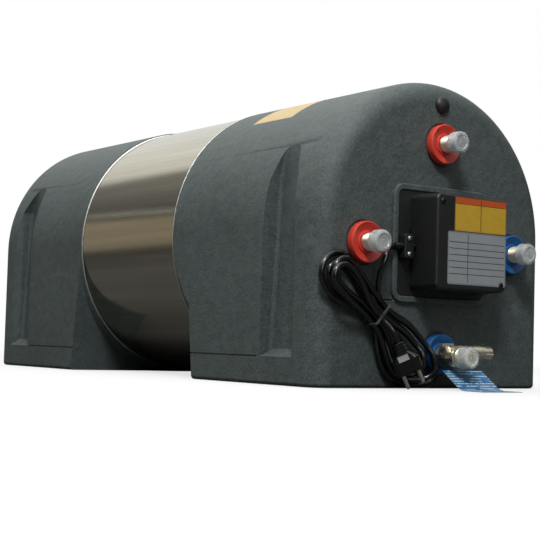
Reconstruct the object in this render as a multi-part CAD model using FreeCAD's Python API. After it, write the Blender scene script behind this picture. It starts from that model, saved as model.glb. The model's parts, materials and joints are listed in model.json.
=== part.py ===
import FreeCAD, Part
import math
import os

from FreeCAD import Vector

# Horizontal storage water heater: a welded tank in moulded foam, a stainless jacket round the middle, and a
# moulded plastic shell at each end that is also its feet.
# Millimetres. +Z is up, the front panel faces -Y, +X is to the right of someone who faces the panel.
# The origin is on the base plane, at the centre of the four threaded inserts under the feet.

# Body
BODY_LENGTH = 860.0
BODY_WIDTH = 378.0
BASE_RISE = 2.0
SHELL_WALL = 4.0
END_ROUNDING = 26.0
FRONT_COLLAR_DEPTH = 317.0
REAR_COLLAR_DEPTH = 279.0
COLLAR_FLARE = 0.48
FOOT_DEPTH = 260.0
FOOT_DRAFT = 0.12
FOOT_EDGE_ROUNDING = 5.0
PARTING_GROOVE_Z = 33.0
PARTING_GROOVE_WIDTH = 2.0
PARTING_GROOVE_DEPTH = 1.2
FIT_GAP = 0.3

# Grip recess in each side of each shell
RECESS_NEAR = 54.0
RECESS_FAR = 109.0
RECESS_SILL = 34.0
RECESS_SILL_RISE = 8.0
RECESS_TOP = 298.0
RECESS_DEPTH = 17.0
RECESS_LEAN = 12.0
RECESS_LIP_RADIUS = 14.0
RECESS_LIP_OVERRUN = 0.3
RECESS_SLANT_Y = 46.0
RECESS_SLANT_Z = 237.0
RECESS_SLANT = 2.0
RECESS_SHOULDER_Z = 250.0
RECESS_TIP_Y = 92.0
RECESS_ROUNDING = 5.0

# Jacket and seams
JACKET_STEP = 2.4
JACKET_WALL = 0.8
JACKET_LAP = 14.0
SEAM_RING_WIDTH = 2.4
SEAM_RING_STEP = 0.6

# Tank
INSULATION = 24.0
TANK_WALL = 1.5
TANK_FRONT_TANGENT = 131.0
TANK_REAR_INSET = 131.0
CROWN_RADIUS = 300.0
KNUCKLE_RADIUS = 35.0
NECK_RADIUS = 50.0
NECK_BORE = 36.0
NECK_FACE_DEPTH = 26.0

# Feet inserts, M8
INSERT_SIDE_INSET = 39.0
INSERT_END_INSET = 110.0
INSERT_RADIUS = 6.0
INSERT_BORE_RADIUS = 3.4
INSERT_LENGTH = 18.0
INSERT_BORE_DEPTH = 15.0
BOSS_RADIUS = 10.0
BOSS_HEIGHT = 22.0

# Pipe fittings in the front panel, 1/2 inch parallel pipe thread
SIDE_FITTING_INSET = 43.2
SIDE_FITTING_DROP = 19.5
HOT_FITTING_INSET = 55.6
COLD_FITTING_INSET = 16.2
THREAD_RADIUS = 10.48
STUB_BORE_RADIUS = 8.1
STUB_REACH = 33.0
STUB_INNER_DEPTH = 112.0
COLLAR_RADIUS = 24.9
COLLAR_HEIGHT = 10.4
COLLAR_DISH = 4.0
COLLAR_SEAT_RADIUS = 27.0
COLLAR_SEAT_DEPTH = 1.5
CAP_RADIUS = 13.5
CAP_SKIRT_RADIUS = 12.2
CAP_SKIRT_LENGTH = 6.0
CAP_START = 14.0
CAP_END = 38.0
CAP_END_WALL = 2.2
CAP_GAP = 0.3
CAP_ROUNDING = 2.5
CAP_PULL = 40.0

# Filler plug of the foam, at the top of the panel
PLUG_DOME_RADIUS = 11.0
PLUG_DOME_HEIGHT = 7.5
PLUG_STEM_RADIUS = 7.0
PLUG_STEM_LENGTH = 9.0
PLUG_INSET = 30.0

# Immersion heater and what is on it
HEATER_DROP = 9.0
HEATER_FLANGE_THICKNESS = 6.0
GASKET_THICKNESS = 2.0
HEATER_BOLT_CIRCLE = 43.0
HEATER_BOLT_COUNT = 6
BOLT_RADIUS = 3.0
BOLT_HEAD_RADIUS = 5.6
BOLT_HEAD_HEIGHT = 4.0
BOLT_GRIP = 18.0
ELEMENT_RADIUS = 4.0
ELEMENT_HALF_PITCH = 14.0
ELEMENT_RISE = 16.0
ELEMENT_REACH = 300.0
ELEMENT_TAIL = 6.0
ANODE_RADIUS = 8.0
ANODE_DROP = 27.0
ANODE_LENGTH = 240.0
WELL_RADIUS = 4.5
WELL_X = 24.0
WELL_RISE = 2.0
WELL_LENGTH = 190.0

# Engine heat exchanger: a hairpin coil in one level plane
COIL_RADIUS = 8.0
COIL_BORE_RADIUS = 7.0
COIL_FRONT_BEND = 190.0
COIL_REAR_CLEARANCE = 169.0
COIL_START_DEPTH = 90.0

# Inner pipes of the tap water
PIPE_RADIUS = 7.8
PIPE_WALL = 1.0
DIP_START_DEPTH = 20.0
DIP_END_DEPTH = 260.0
PICKUP_BEND = 26.0
PICKUP_TOP_GAP = 10.0

# Electric box
SURROUND_LEFT = -78.0
SURROUND_RIGHT = 82.0
SURROUND_BELOW = 79.0
SURROUND_ABOVE = 65.0
SURROUND_WIDTH = 8.0
SURROUND_HEIGHT = 4.5
SURROUND_CORNER = 16.0
TRAY_GAP = 0.5
TRAY_THICKNESS = 3.0
PANEL_OPENING_RADIUS = 54.0
TRAY_OPENING_RADIUS = 51.5
COVER_LEFT = -50.0
COVER_RIGHT = 70.0
COVER_BELOW = 64.0
COVER_ABOVE = 53.0
COVER_HEIGHT = 48.0
COVER_WALL = 2.5
COVER_CORNER = 7.0
COVER_EDGE_ROUNDING = 3.0
COVER_DRAFT = 1.5
COVER_SCREW_RADIUS = 2.0
COVER_SCREW_HEAD_RADIUS = 3.6
COVER_SCREW_INSET = 10.5
COVER_SCREW_HEAD_HEIGHT = 2.0
COVER_SCREW_LENGTH = 14.0
POST_RADIUS = 4.2

# Control inside the box
THERMOSTAT_LEFT = 22.0
THERMOSTAT_WIDTH = 42.0
THERMOSTAT_BELOW = 36.0
THERMOSTAT_HEIGHT = 56.0
THERMOSTAT_DEPTH = 25.0
DIAL_RADIUS = 11.0
DIAL_HEIGHT = 8.0
DIAL_BELOW = 18.0
DIAL_SHAFT_RADIUS = 3.0
SHAFT_RUNNING_GAP = 0.05
RESET_ABOVE = 8.0
RESET_RADIUS = 3.0
RESET_TRAVEL = 2.0
RESET_PROUD = 4.0
TERMINAL_WIDTH = 34.0
TERMINAL_HEIGHT = 17.0
TERMINAL_DEPTH = 15.0
TERMINAL_LEFT = -42.0
TERMINAL_GAP = 4.5
TERMINAL_WAYS = 3

# Cord clamp
CORD_RADIUS = 3.5
CORD_EXIT_BELOW = 12.0
CORD_EXIT_X = -71.0
CORD_AXIS_HEIGHT = 8.3
SLEEVE_START_X = -44.0
SLEEVE_RADIUS = 5.2
SLEEVE_END_RADIUS = 4.3
SLEEVE_GAP = 0.3
CLAMP_LEFT = -69.0
CLAMP_RIGHT = -55.0
CLAMP_HALF_HEIGHT = 15.0
CLAMP_TOP = 15.5
CLAMP_SCREW_OFFSET = 9.5
CLAMP_SCREW_RADIUS = 1.8
CLAMP_HEAD_RADIUS = 3.4
CLAMP_HEAD_HEIGHT = 2.2
CLAMP_SCREW_DEPTH = 14.0

# Safety valve on the cold inlet
VALVE_DROP = 3.5
VALVE_SOCKET_START = 13.0
VALVE_SOCKET_END = 27.0
VALVE_HEX_HALF = 13.5
VALVE_HEX_END = 21.0
VALVE_BARREL_RADIUS = 13.0
VALVE_BARREL_END = 46.0
VALVE_INLET_END = 60.0
VALVE_STUB_REACH = 25.0
VALVE_BORE_RADIUS = 5.5
CHECK_SEAT_DEPTH = 52.0
CHECK_CHAMBER_RADIUS = 7.5
CHECK_CHAMBER_END = 38.0
CHECK_INLET_RADIUS = 5.0
CHECK_DISC_RADIUS = 6.8
CHECK_DISC_THICKNESS = 2.5
CHECK_TRAVEL = 4.0
CROSS_DEPTH = 31.0
CROSS_RISE = 6.0
CROSS_RADIUS = 8.6
CROSS_LEFT = -14.0
CROSS_RIGHT = 30.0
CROSS_BORE_RADIUS = 3.4
NOZZLE_LEFT = -19.0
NOZZLE_HEX_HALF = 7.2
NOZZLE_BORE_RADIUS = 4.0
RELIEF_CHAMBER_RADIUS = 6.4
RELIEF_SEAT_X = -6.0
RELIEF_DISC_RADIUS = 5.2
RELIEF_DISC_THICKNESS = 2.5
RELIEF_LIFT = 2.0
STEM_RADIUS = 1.5
STEM_GAP = 0.4
BONNET_RADIUS = 9.0
BONNET_BORE_RADIUS = 6.5
BONNET_END = 43.0
BONNET_END_WALL = 2.0
BONNET_NOSE_RADIUS = 4.0
BONNET_NOSE_END = 49.0
STEM_COLLAR_X = 38.0
STEM_COLLAR_RADIUS = 5.9
STEM_COLLAR_THICKNESS = 1.6
STEM_END = 50.0
KNOB_START = 43.4
KNOB_END = 60.0
KNOB_RADIUS = 8.2
KNOB_CAVITY_END = 53.0
KNOB_GRIPS = 8
KNOB_GRIP_RADIUS = 1.6
SPRING_WALL = 1.0
SPRING_END_GAP = 0.1
VALVE_CAP_START = 46.3
VALVE_CAP_END = 62.5

# Mains cord: the lead from the clamp, the tied hank and the plug
LEAD_POINTS = (
    (-86.5, -8.3, 170.0),
    (-97.0, -14.4, 160.5),
    (-102.0, -14.4, 146.0),
    (-104.8, -10.0, 131.0),
)
HANK_WAIST = (-106.0, -4.9, 90.0)
HANK_UPPER = (-163.0, -4.9, 130.0)
HANK_SLOPE = (0.755, 0.0, -0.656)
HANK_TURNS = 4
HANK_LAYER_STEP = 7.8
WAIST_STEP = 9.2
WAIST_SHIFT = 2.2
UPPER_LEFT_REACH = 23.5
UPPER_RIGHT_REACH = 27.5
UPPER_STEP = 5.2
LOWER_STEP = 5.5
LOWER_SHOULDER_ALONG = 62.0
LOWER_SHOULDER_ACROSS = 24.0
LOWER_SHOULDER_LIFT = 5.0
LOWER_RIGHT = (-17.2, -17.9, 22.2)
LOWER_RIGHT_INSET = (-1.75, 0.0, 0.85)
LOWER_BOTTOM = (-50.0, -7.5, 4.4)
LOWER_BOTTOM_INSET = (-0.25, 0.0, 1.05)
LOWER_LEFT = (-95.0, -4.9, 31.0)
LOWER_LEFT_INSET = (0.907, 0.0, 0.42)
LOWER_LEFT_HEADING = (-0.42, 0.0, 0.907)
TIE_THICKNESS = 0.8
TIE_WIDTH = 3.0

# Plug
PLUG_FACE = (-70.5, -31.0, 19.0)
PLUG_ROW = (0.755, -0.568, 0.316)
PLUG_AXIS = (0.51, 0.0, -0.86)
PIN_SPACING = 19.0
PIN_RADIUS = 2.4
PIN_LENGTH = 19.0
PLUG_WIDTH = 34.0
PLUG_DEPTH = 16.0
PLUG_BODY_LENGTH = 18.0
PLUG_TAIL_LENGTH = 22.0
PLUG_TAIL_RADIUS = 5.0

# Paper tag on the valve
TAG_LEFT = -18.0
TAG_WIDTH = 66.0
TAG_THICKNESS = 0.5
TAG_TOP_Z = 23.0
TAG_TOP_Y = -30.0
TAG_FLOOR_Y = -62.0
TAG_END_Y = -98.0
TAG_BEND = 8.0
TAG_TIE_RADIUS = 0.7
TAG_TIE_OUT = 42.5

# Worked out from the above
FRONT_Y = -BODY_LENGTH / 2.0
REAR_Y = BODY_LENGTH / 2.0
HALF_WIDTH = BODY_WIDTH / 2.0
ARCH_Z = HALF_WIDTH + BASE_RISE
TANK_RADIUS = HALF_WIDTH - INSULATION
TANK_REAR_TANGENT = BODY_LENGTH - TANK_REAR_INSET
COIL_REAR_BEND = TANK_REAR_TANGENT - COIL_REAR_CLEARANCE
SIDE_FITTING_X = TANK_RADIUS - SIDE_FITTING_INSET
SIDE_FITTING_Z = ARCH_Z - SIDE_FITTING_DROP
HOT_FITTING_Z = ARCH_Z + TANK_RADIUS - HOT_FITTING_INSET
COLD_FITTING_Z = ARCH_Z - TANK_RADIUS + COLD_FITTING_INSET
PICKUP_TOP_Z = ARCH_Z + TANK_RADIUS - PICKUP_TOP_GAP
PLUG_Z = ARCH_Z + HALF_WIDTH - PLUG_INSET
HEATER_Z = ARCH_Z - HEATER_DROP
ELEMENT_Z = HEATER_Z + ELEMENT_RISE
ANODE_Z = HEATER_Z - ANODE_DROP
WELL_Z = HEATER_Z + WELL_RISE
SURROUND_BOTTOM = HEATER_Z - SURROUND_BELOW
SURROUND_TOP = HEATER_Z + SURROUND_ABOVE
COVER_BOTTOM = HEATER_Z - COVER_BELOW
COVER_TOP = HEATER_Z + COVER_ABOVE
THERMOSTAT_BOTTOM = HEATER_Z - THERMOSTAT_BELOW
DIAL_Z = HEATER_Z - DIAL_BELOW
RESET_Z = HEATER_Z + RESET_ABOVE
TERMINAL_BOTTOM = COVER_BOTTOM + TERMINAL_GAP
CORD_EXIT_Z = HEATER_Z - CORD_EXIT_BELOW
JACKET_RADIUS = HALF_WIDTH - JACKET_STEP
MOUTH_RADIUS = JACKET_RADIUS + FIT_GAP
CROWN_RISE = CROWN_RADIUS - math.sqrt(
    (CROWN_RADIUS - KNUCKLE_RADIUS) ** 2 - (TANK_RADIUS - KNUCKLE_RADIUS) ** 2
)
VALVE_Z = COLD_FITTING_Z - VALVE_DROP
CROSS_Z = VALVE_Z + CROSS_RISE
TOUCH_GAP = 0.1
FAR = 400.0


def unit(v):
    """The vector at length one."""
    w = Vector(v)
    w.normalize()
    return w


def panel(x, out, z):
    """A point that lies out millimetres in front of the front panel."""
    return Vector(x, FRONT_Y - out, z)


def rod(radius, out0, out1, x, z):
    """A cylinder along Y, given by how far its ends lie in front of the panel."""
    low, high = min(out0, out1), max(out0, out1)
    return Part.makeCylinder(radius, high - low, panel(x, high, z), Vector(0, 1, 0))


def rod_x(radius, x0, x1, out, z):
    """A cylinder along X in front of the panel."""
    return Part.makeCylinder(radius, x1 - x0, panel(x0, out, z), Vector(1, 0, 0))


def turned(profile, x, z):
    """A solid of revolution about a Y axis, from (out, radius) corners."""
    points = [Vector(radius, -out, 0) for out, radius in profile]
    face = Part.Face(Part.makePolygon(points + [points[0]]))
    solid = face.revolve(Vector(0, 0, 0), Vector(0, 1, 0), 360)
    solid.translate(Vector(x, FRONT_Y, z))
    return solid


def hexagon(half_flat, start, length, axis):
    """A hexagonal bar from start along a unit axis, flats half_flat from it."""
    side = unit(Vector(0, 0, 1)) if abs(axis.z) < 0.5 else unit(Vector(1, 0, 0))
    other = axis.cross(side)
    corner = half_flat / math.cos(math.pi / 6)
    points = []
    for i in range(7):
        turn = math.pi / 6 + i * math.pi / 3
        points.append(start + side * (corner * math.cos(turn)) + other * (corner * math.sin(turn)))
    return Part.Face(Part.makePolygon(points)).extrude(axis * length)


def rounded_rectangle(left, right, bottom, top, corner, out):
    """A face in the plane out millimetres in front of the panel."""
    wire_edges = []
    corners = (
        (right - corner, top - corner, 0),
        (left + corner, top - corner, 90),
        (left + corner, bottom + corner, 180),
        (right - corner, bottom + corner, 270),
    )
    arcs = []
    for cx, cz, start in corners:
        ends = []
        for turn in (start, start + 45, start + 90):
            a = math.radians(turn)
            ends.append(panel(cx + corner * math.cos(a), out, cz + corner * math.sin(a)))
        arcs.append(ends)
    for i in range(4):
        wire_edges.append(Part.Arc(*arcs[i]).toShape())
        wire_edges.append(Part.LineSegment(arcs[i][2], arcs[(i + 1) % 4][0]).toShape())
    return Part.Face(Part.Wire(wire_edges))


def block(left, right, bottom, top, corner, out0, out1):
    """A rounded rectangular block that stands on the panel from out0 to out1."""
    return rounded_rectangle(left, right, bottom, top, corner, out0).extrude(Vector(0, out0 - out1, 0))


def edges_near(shape, test):
    """The edges whose middle point passes a test."""
    found = []
    for edge in shape.Edges:
        middle = edge.valueAt((edge.FirstParameter + edge.LastParameter) / 2.0)
        if test(middle):
            found.append(edge)
    return found


def one_solid(shape):
    """The single solid in a result, with split faces joined."""
    clean = shape.removeSplitter()
    return clean.Solids[0] if len(clean.Solids) == 1 else clean


# End shells. Both are made with the end face at y = 0 and the mouth towards +y, and then placed.


def arch_face(inset, y):
    """The arch outline, all round inset inwards."""
    half = HALF_WIDTH - inset
    corners = [Vector(-half, y, inset), Vector(half, y, inset), Vector(half, y, ARCH_Z)]
    far = Vector(-half, y, ARCH_Z)
    edges = [
        Part.LineSegment(corners[0], corners[1]).toShape(),
        Part.LineSegment(corners[1], corners[2]).toShape(),
        Part.Arc(corners[2], Vector(0, y, ARCH_Z + half), far).toShape(),
        Part.LineSegment(far, corners[0]).toShape(),
    ]
    return Part.Face(Part.Wire(edges))


def recess_cutter(side, grow):
    """The grip recess: a floor that leans in, a sloping sill, a soft near lip, a crisp far edge and a narrow top.

    It is the common part of three prisms: its plan, its side view and its front view.
    """
    outer = HALF_WIDTH + 20.0
    deep = HALF_WIDTH - 60.0
    near, far = RECESS_NEAR - grow, RECESS_FAR + grow
    lip = RECESS_LIP_RADIUS - grow
    lip_x = HALF_WIDTH - RECESS_LIP_RADIUS + RECESS_LIP_OVERRUN
    lip_y = near - lip
    half = math.sqrt(0.5) * lip
    lip_start = Vector(lip_x + lip, lip_y, 0)
    lip_end = Vector(lip_x, near, 0)
    plan_edges = [
        Part.LineSegment(Vector(outer, lip_y, 0), lip_start).toShape(),
        Part.Arc(lip_start, Vector(lip_x + half, lip_y + half, 0), lip_end).toShape(),
    ]
    corners = [lip_end, Vector(deep, near, 0), Vector(deep, far, 0), Vector(outer, far, 0), Vector(outer, lip_y, 0)]
    for a, b in zip(corners, corners[1:]):
        plan_edges.append(Part.LineSegment(a, b).toShape())
    plan = Part.Face(Part.Wire(plan_edges)).extrude(Vector(0, 0, FAR))

    side_near = lip_y - 4.0
    top = RECESS_TOP + grow
    lift = grow * math.hypot(1.0, RECESS_SLANT)

    def slant_y(z):
        return RECESS_SLANT_Y + (z - RECESS_SLANT_Z - lift) / RECESS_SLANT

    slant_z = RECESS_SLANT_Z + lift + RECESS_SLANT * (side_near - RECESS_SLANT_Y)
    outline = [
        Vector(deep, side_near, 0),
        Vector(deep, far, 0),
        Vector(deep, far, RECESS_SHOULDER_Z),
        Vector(deep, far - 8.0, RECESS_TOP - 8.0),
        Vector(deep, RECESS_TIP_Y, top),
        Vector(deep, slant_y(top), top),
        Vector(deep, side_near, slant_z),
    ]
    view = Part.Face(Part.makePolygon(outline + [outline[0]])).extrude(Vector(outer - deep, 0, 0))

    floor = HALF_WIDTH - RECESS_DEPTH - grow
    sill = RECESS_SILL - grow
    slope = RECESS_SILL_RISE / RECESS_DEPTH
    lean = RECESS_LEAN / (RECESS_TOP - RECESS_SILL)
    section = [
        Vector(outer, 0, sill - slope * (outer - HALF_WIDTH)),
        Vector(floor, 0, sill + slope * (HALF_WIDTH - floor)),
        Vector(floor - lean * (top + 10.0 - sill), 0, top + 10.0),
        Vector(outer, 0, top + 10.0),
    ]
    front = Part.Face(Part.makePolygon(section + [section[0]])).extrude(Vector(0, far + 20.0, 0))

    cutter = plan.common(view).common(front)
    cutter = cutter.Solids[0]
    inner = edges_near(cutter, lambda m: m.x < lip_x - 1.0)
    cutter = cutter.makeFillet(RECESS_ROUNDING, inner)
    if side < 0:
        cutter = cutter.mirror(Vector(0, 0, 0), Vector(1, 0, 0))
    return cutter


def shell_form(inset, collar):
    """The outside of a shell, or at an inset the cavity in it."""
    form = arch_face(inset, inset).extrude(Vector(0, collar - inset, 0))
    rim = edges_near(form, lambda m: abs(m.y - inset) < 0.01 and m.z > inset + 1.0)
    form = form.makeFillet(END_ROUNDING - inset, rim)
    if inset == 0:
        base = edges_near(form, lambda m: abs(m.z) < 0.01 and m.y < collar - 1.0 and abs(m.x) < HALF_WIDTH + 1)
        form = form.makeFillet(FOOT_EDGE_ROUNDING, base)
    foot = FOOT_DEPTH - inset
    wedge_points = [
        Vector(-FAR, foot, -1.0),
        Vector(-FAR, foot + FOOT_DRAFT * ARCH_Z, ARCH_Z),
        Vector(-FAR, collar + 50.0, ARCH_Z),
        Vector(-FAR, collar + 50.0, -1.0),
    ]
    wedge = Part.Face(Part.makePolygon(wedge_points + [wedge_points[0]])).extrude(Vector(2 * FAR, 0, 0))
    back = 90.0
    cone = Part.makeCone(
        HALF_WIDTH - inset + COLLAR_FLARE * back,
        HALF_WIDTH - inset,
        back,
        Vector(0, collar - back, ARCH_Z),
        Vector(0, 1, 0),
    )
    form = form.cut(wedge.cut(cone))
    for side in (-1, 1):
        form = form.cut(recess_cutter(side, inset))
    return form


def insert_places(y_sign):
    """Where the two inserts of one foot stand, in that shell's own frame."""
    x = HALF_WIDTH - INSERT_SIDE_INSET
    return [Vector(-x, INSERT_END_INSET, 0), Vector(x, INSERT_END_INSET, 0)]


def end_shell(collar):
    """A hollow shell with a mouth for the jacket and bosses for the inserts."""
    shell = shell_form(0.0, collar).cut(shell_form(SHELL_WALL, collar))
    mouth = Part.makeCylinder(
        MOUTH_RADIUS, JACKET_LAP + 1.0, Vector(0, collar - JACKET_LAP, ARCH_Z), Vector(0, 1, 0)
    )
    shell = shell.cut(mouth)
    for side in (-1, 1):
        x = side * (HALF_WIDTH + 10.0 - PARTING_GROOVE_DEPTH)
        groove = Part.makeBox(20.0, FOOT_DEPTH, PARTING_GROOVE_WIDTH)
        groove.translate(Vector(x - 10.0, RECESS_FAR + 6.0, PARTING_GROOVE_Z))
        shell = shell.cut(groove)
    for place in insert_places(1):
        boss = Part.makeCylinder(BOSS_RADIUS, BOSS_HEIGHT, place)
        shell = shell.fuse(boss).cut(Part.makeCylinder(INSERT_RADIUS, INSERT_LENGTH, place))
    return shell


def to_front(shape):
    """Place a shell's own frame at the front end."""
    placed = shape.copy()
    placed.translate(Vector(0, FRONT_Y, 0))
    return placed


def to_rear(shape):
    """Turn a shell's own frame round to the rear end."""
    placed = shape.copy()
    placed.rotate(Vector(0, 0, 0), Vector(0, 0, 1), 180)
    placed.translate(Vector(0, REAR_Y, 0))
    return placed


FITTINGS = {
    "hot": (0.0, HOT_FITTING_Z),
    "engine_out": (-SIDE_FITTING_X, SIDE_FITTING_Z),
    "engine_in": (SIDE_FITTING_X, SIDE_FITTING_Z),
    "cold": (0.0, COLD_FITTING_Z),
}


def front_shell():
    """The front shell with its box surround, collar seats and holes."""
    shell = to_front(end_shell(FRONT_COLLAR_DEPTH))
    outer = block(
        SURROUND_LEFT, SURROUND_RIGHT, SURROUND_BOTTOM, SURROUND_TOP, SURROUND_CORNER, -1.0, SURROUND_HEIGHT
    )
    inner = block(
        SURROUND_LEFT + SURROUND_WIDTH,
        SURROUND_RIGHT - SURROUND_WIDTH,
        SURROUND_BOTTOM + SURROUND_WIDTH,
        SURROUND_TOP - SURROUND_WIDTH,
        SURROUND_CORNER - SURROUND_WIDTH,
        -2.0,
        SURROUND_HEIGHT + 1.0,
    )
    rim = outer.cut(inner)
    top_edges = edges_near(rim, lambda m: abs(m.y - (FRONT_Y - SURROUND_HEIGHT)) < 0.01)
    rim = rim.makeFillet(2.0, top_edges)
    shell = shell.fuse(rim)
    notch = rod_x(
        SLEEVE_RADIUS + SLEEVE_GAP,
        SURROUND_LEFT - 1.0,
        SURROUND_LEFT + SURROUND_WIDTH + 1.0,
        CORD_AXIS_HEIGHT,
        CORD_EXIT_Z,
    )
    shell = shell.cut(notch)
    shell = shell.cut(rod(PANEL_OPENING_RADIUS, -SHELL_WALL - 1.0, 1.0, 0.0, HEATER_Z))
    for name, (x, z) in FITTINGS.items():
        shell = shell.cut(rod(COLLAR_SEAT_RADIUS, -COLLAR_SEAT_DEPTH, 1.0, x, z))
        shell = shell.cut(rod(THREAD_RADIUS + FIT_GAP, -SHELL_WALL - 1.0, 1.0, x, z))
    shell = shell.cut(rod(PLUG_STEM_RADIUS + FIT_GAP, -SHELL_WALL - 1.0, 1.0, 0.0, PLUG_Z))
    return one_solid(shell)


def rear_shell():
    """The plain rear shell."""
    return one_solid(to_rear(end_shell(REAR_COLLAR_DEPTH)))


def ring_y(outer, inner, y0, y1):
    """A ring about the body's axis."""
    solid = Part.makeCylinder(outer, y1 - y0, Vector(0, y0, ARCH_Z), Vector(0, 1, 0))
    return solid.cut(Part.makeCylinder(inner, y1 - y0, Vector(0, y0, ARCH_Z), Vector(0, 1, 0)))


def steel_jacket():
    """The stainless sheet round the middle, lapped into both shells."""
    start = FRONT_Y + FRONT_COLLAR_DEPTH - JACKET_LAP + TOUCH_GAP
    end = REAR_Y - REAR_COLLAR_DEPTH + JACKET_LAP - TOUCH_GAP
    return ring_y(JACKET_RADIUS, JACKET_RADIUS - JACKET_WALL, start, end)


def seam_ring(y0):
    """A bead that lies on the jacket against a shell's mouth."""
    ring = ring_y(HALF_WIDTH - SEAM_RING_STEP, JACKET_RADIUS + FIT_GAP / 2.0, y0, y0 + SEAM_RING_WIDTH)
    rims = edges_near(ring, lambda m: math.hypot(m.x, m.z - ARCH_Z) > JACKET_RADIUS + 1.0)
    return ring.makeFillet(0.6, rims)


def front_seam_ring():
    return seam_ring(FRONT_Y + FRONT_COLLAR_DEPTH + TOUCH_GAP)


def rear_seam_ring():
    return seam_ring(REAR_Y - REAR_COLLAR_DEPTH - TOUCH_GAP - SEAM_RING_WIDTH)


def foam_core():
    """Moulded foam that fills the shells and the jacket round the tank."""
    inset = SHELL_WALL + FIT_GAP
    front = to_front(shell_form(inset, FRONT_COLLAR_DEPTH - JACKET_LAP))
    rear = to_rear(shell_form(inset, REAR_COLLAR_DEPTH - JACKET_LAP))
    middle_radius = JACKET_RADIUS - JACKET_WALL - FIT_GAP
    start = FRONT_Y + FOOT_DEPTH - 40.0
    end = REAR_Y - FOOT_DEPTH + 40.0
    middle = Part.makeCylinder(
        min(middle_radius, HALF_WIDTH - inset), end - start, Vector(0, start, ARCH_Z), Vector(0, 1, 0)
    )
    foam = front.fuse(middle).fuse(rear)
    foam = foam.cut(tank_outline(FIT_GAP))
    foam = foam.cut(rod(PANEL_OPENING_RADIUS, -TANK_FRONT_TANGENT, 0.0, 0.0, HEATER_Z))
    for name, (x, z) in FITTINGS.items():
        foam = foam.cut(rod(THREAD_RADIUS + FIT_GAP, -TANK_FRONT_TANGENT, 0.0, x, z))
    foam = foam.cut(rod(PLUG_STEM_RADIUS + FIT_GAP, -PLUG_STEM_LENGTH - 2.0, 0.0, 0.0, PLUG_Z))
    for place in insert_places(1):
        boss = Part.makeCylinder(BOSS_RADIUS + FIT_GAP, BOSS_HEIGHT + FIT_GAP, place)
        foam = foam.cut(to_front(boss)).cut(to_rear(boss))
    return one_solid(foam)


# Tank


def head_profile(radius, crown, knuckle, tangent):
    """Half outline of a dished head as edges, from the axis to the tangent line, crown towards -y."""
    rise = crown - math.sqrt((crown - knuckle) ** 2 - (radius - knuckle) ** 2)
    crown_centre = Vector(0, tangent - rise + crown, 0)
    knuckle_centre = Vector(radius - knuckle, tangent, 0)
    away = unit(knuckle_centre - crown_centre)
    join = crown_centre + away * crown
    top = Vector(0, tangent - rise, 0)
    half_angle = math.atan2(join.x, crown_centre.y - join.y) / 2.0
    crown_middle = crown_centre + Vector(math.sin(half_angle) * crown, -math.cos(half_angle) * crown, 0)
    rim = Vector(radius, tangent, 0)
    knuckle_middle = knuckle_centre + unit(unit(join - knuckle_centre) + Vector(1, 0, 0)) * knuckle
    return [
        Part.Arc(top, crown_middle, join).toShape(),
        Part.Arc(join, knuckle_middle, rim).toShape(),
    ], top, rim


def head_solid(radius, crown, knuckle, tangent):
    """A dished head filled to its tangent line, about the Y axis."""
    edges, top, rim = head_profile(radius, crown, knuckle, tangent)
    foot = Vector(0, tangent, 0)
    edges.append(Part.LineSegment(rim, foot).toShape())
    edges.append(Part.LineSegment(foot, top).toShape())
    face = Part.Face(Part.Wire(edges))
    return face.revolve(Vector(0, 0, 0), Vector(0, 1, 0), 360)


def head_at(grow, tangent, facing):
    """A filled head at the front (facing -1) or rear (facing 1), grown by a gap."""
    solid = head_solid(TANK_RADIUS + grow, CROWN_RADIUS + grow, KNUCKLE_RADIUS + grow, 0.0)
    if facing > 0:
        solid.rotate(Vector(0, 0, 0), Vector(0, 0, 1), 180)
    solid.translate(Vector(0, FRONT_Y + tangent, ARCH_Z))
    return solid


def tank_outline(grow):
    """The outside of the closed tank with its heater neck."""
    tube = Part.makeCylinder(
        TANK_RADIUS + grow,
        TANK_REAR_TANGENT - TANK_FRONT_TANGENT,
        Vector(0, FRONT_Y + TANK_FRONT_TANGENT, ARCH_Z),
        Vector(0, 1, 0),
    )
    return tube.fuse(head_at(grow, TANK_FRONT_TANGENT, -1)).fuse(head_at(grow, TANK_REAR_TANGENT, 1))


def tank_shell():
    """The rolled tube of the tank."""
    return ring_y(TANK_RADIUS, TANK_RADIUS - TANK_WALL, FRONT_Y + TANK_FRONT_TANGENT, FRONT_Y + TANK_REAR_TANGENT)


def tank_front_head():
    """The front head with the heater neck, open for the pipes."""
    plate = head_at(0.0, TANK_FRONT_TANGENT, -1)
    neck = rod(NECK_RADIUS, -NECK_FACE_DEPTH, -TANK_FRONT_TANGENT + 10.0, 0.0, HEATER_Z)
    plate = plate.fuse(neck).cut(head_at(-TANK_WALL, TANK_FRONT_TANGENT, -1))
    plate = plate.cut(rod(NECK_BORE, -NECK_FACE_DEPTH + 1.0, -TANK_FRONT_TANGENT - 1.0, 0.0, HEATER_Z))
    for name, (x, z) in FITTINGS.items():
        plate = plate.cut(rod(THREAD_RADIUS + TOUCH_GAP, 0.0, -TANK_FRONT_TANGENT - 1.0, x, z))
    for x, z in bolt_places():
        plate = plate.cut(rod(BOLT_RADIUS + TOUCH_GAP, 0.0, -NECK_FACE_DEPTH - BOLT_GRIP, x, z))
    return one_solid(plate)


def tank_rear_head():
    """The plain rear head."""
    plate = head_at(0.0, TANK_REAR_TANGENT, 1)
    return plate.cut(head_at(-TANK_WALL, TANK_REAR_TANGENT, 1))


def bolt_places():
    """Centres of the heater bolts."""
    places = []
    for i in range(HEATER_BOLT_COUNT):
        turn = 2 * math.pi * (i + 0.5) / HEATER_BOLT_COUNT
        places.append((HEATER_BOLT_CIRCLE * math.sin(turn), HEATER_Z + HEATER_BOLT_CIRCLE * math.cos(turn)))
    return places


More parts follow.
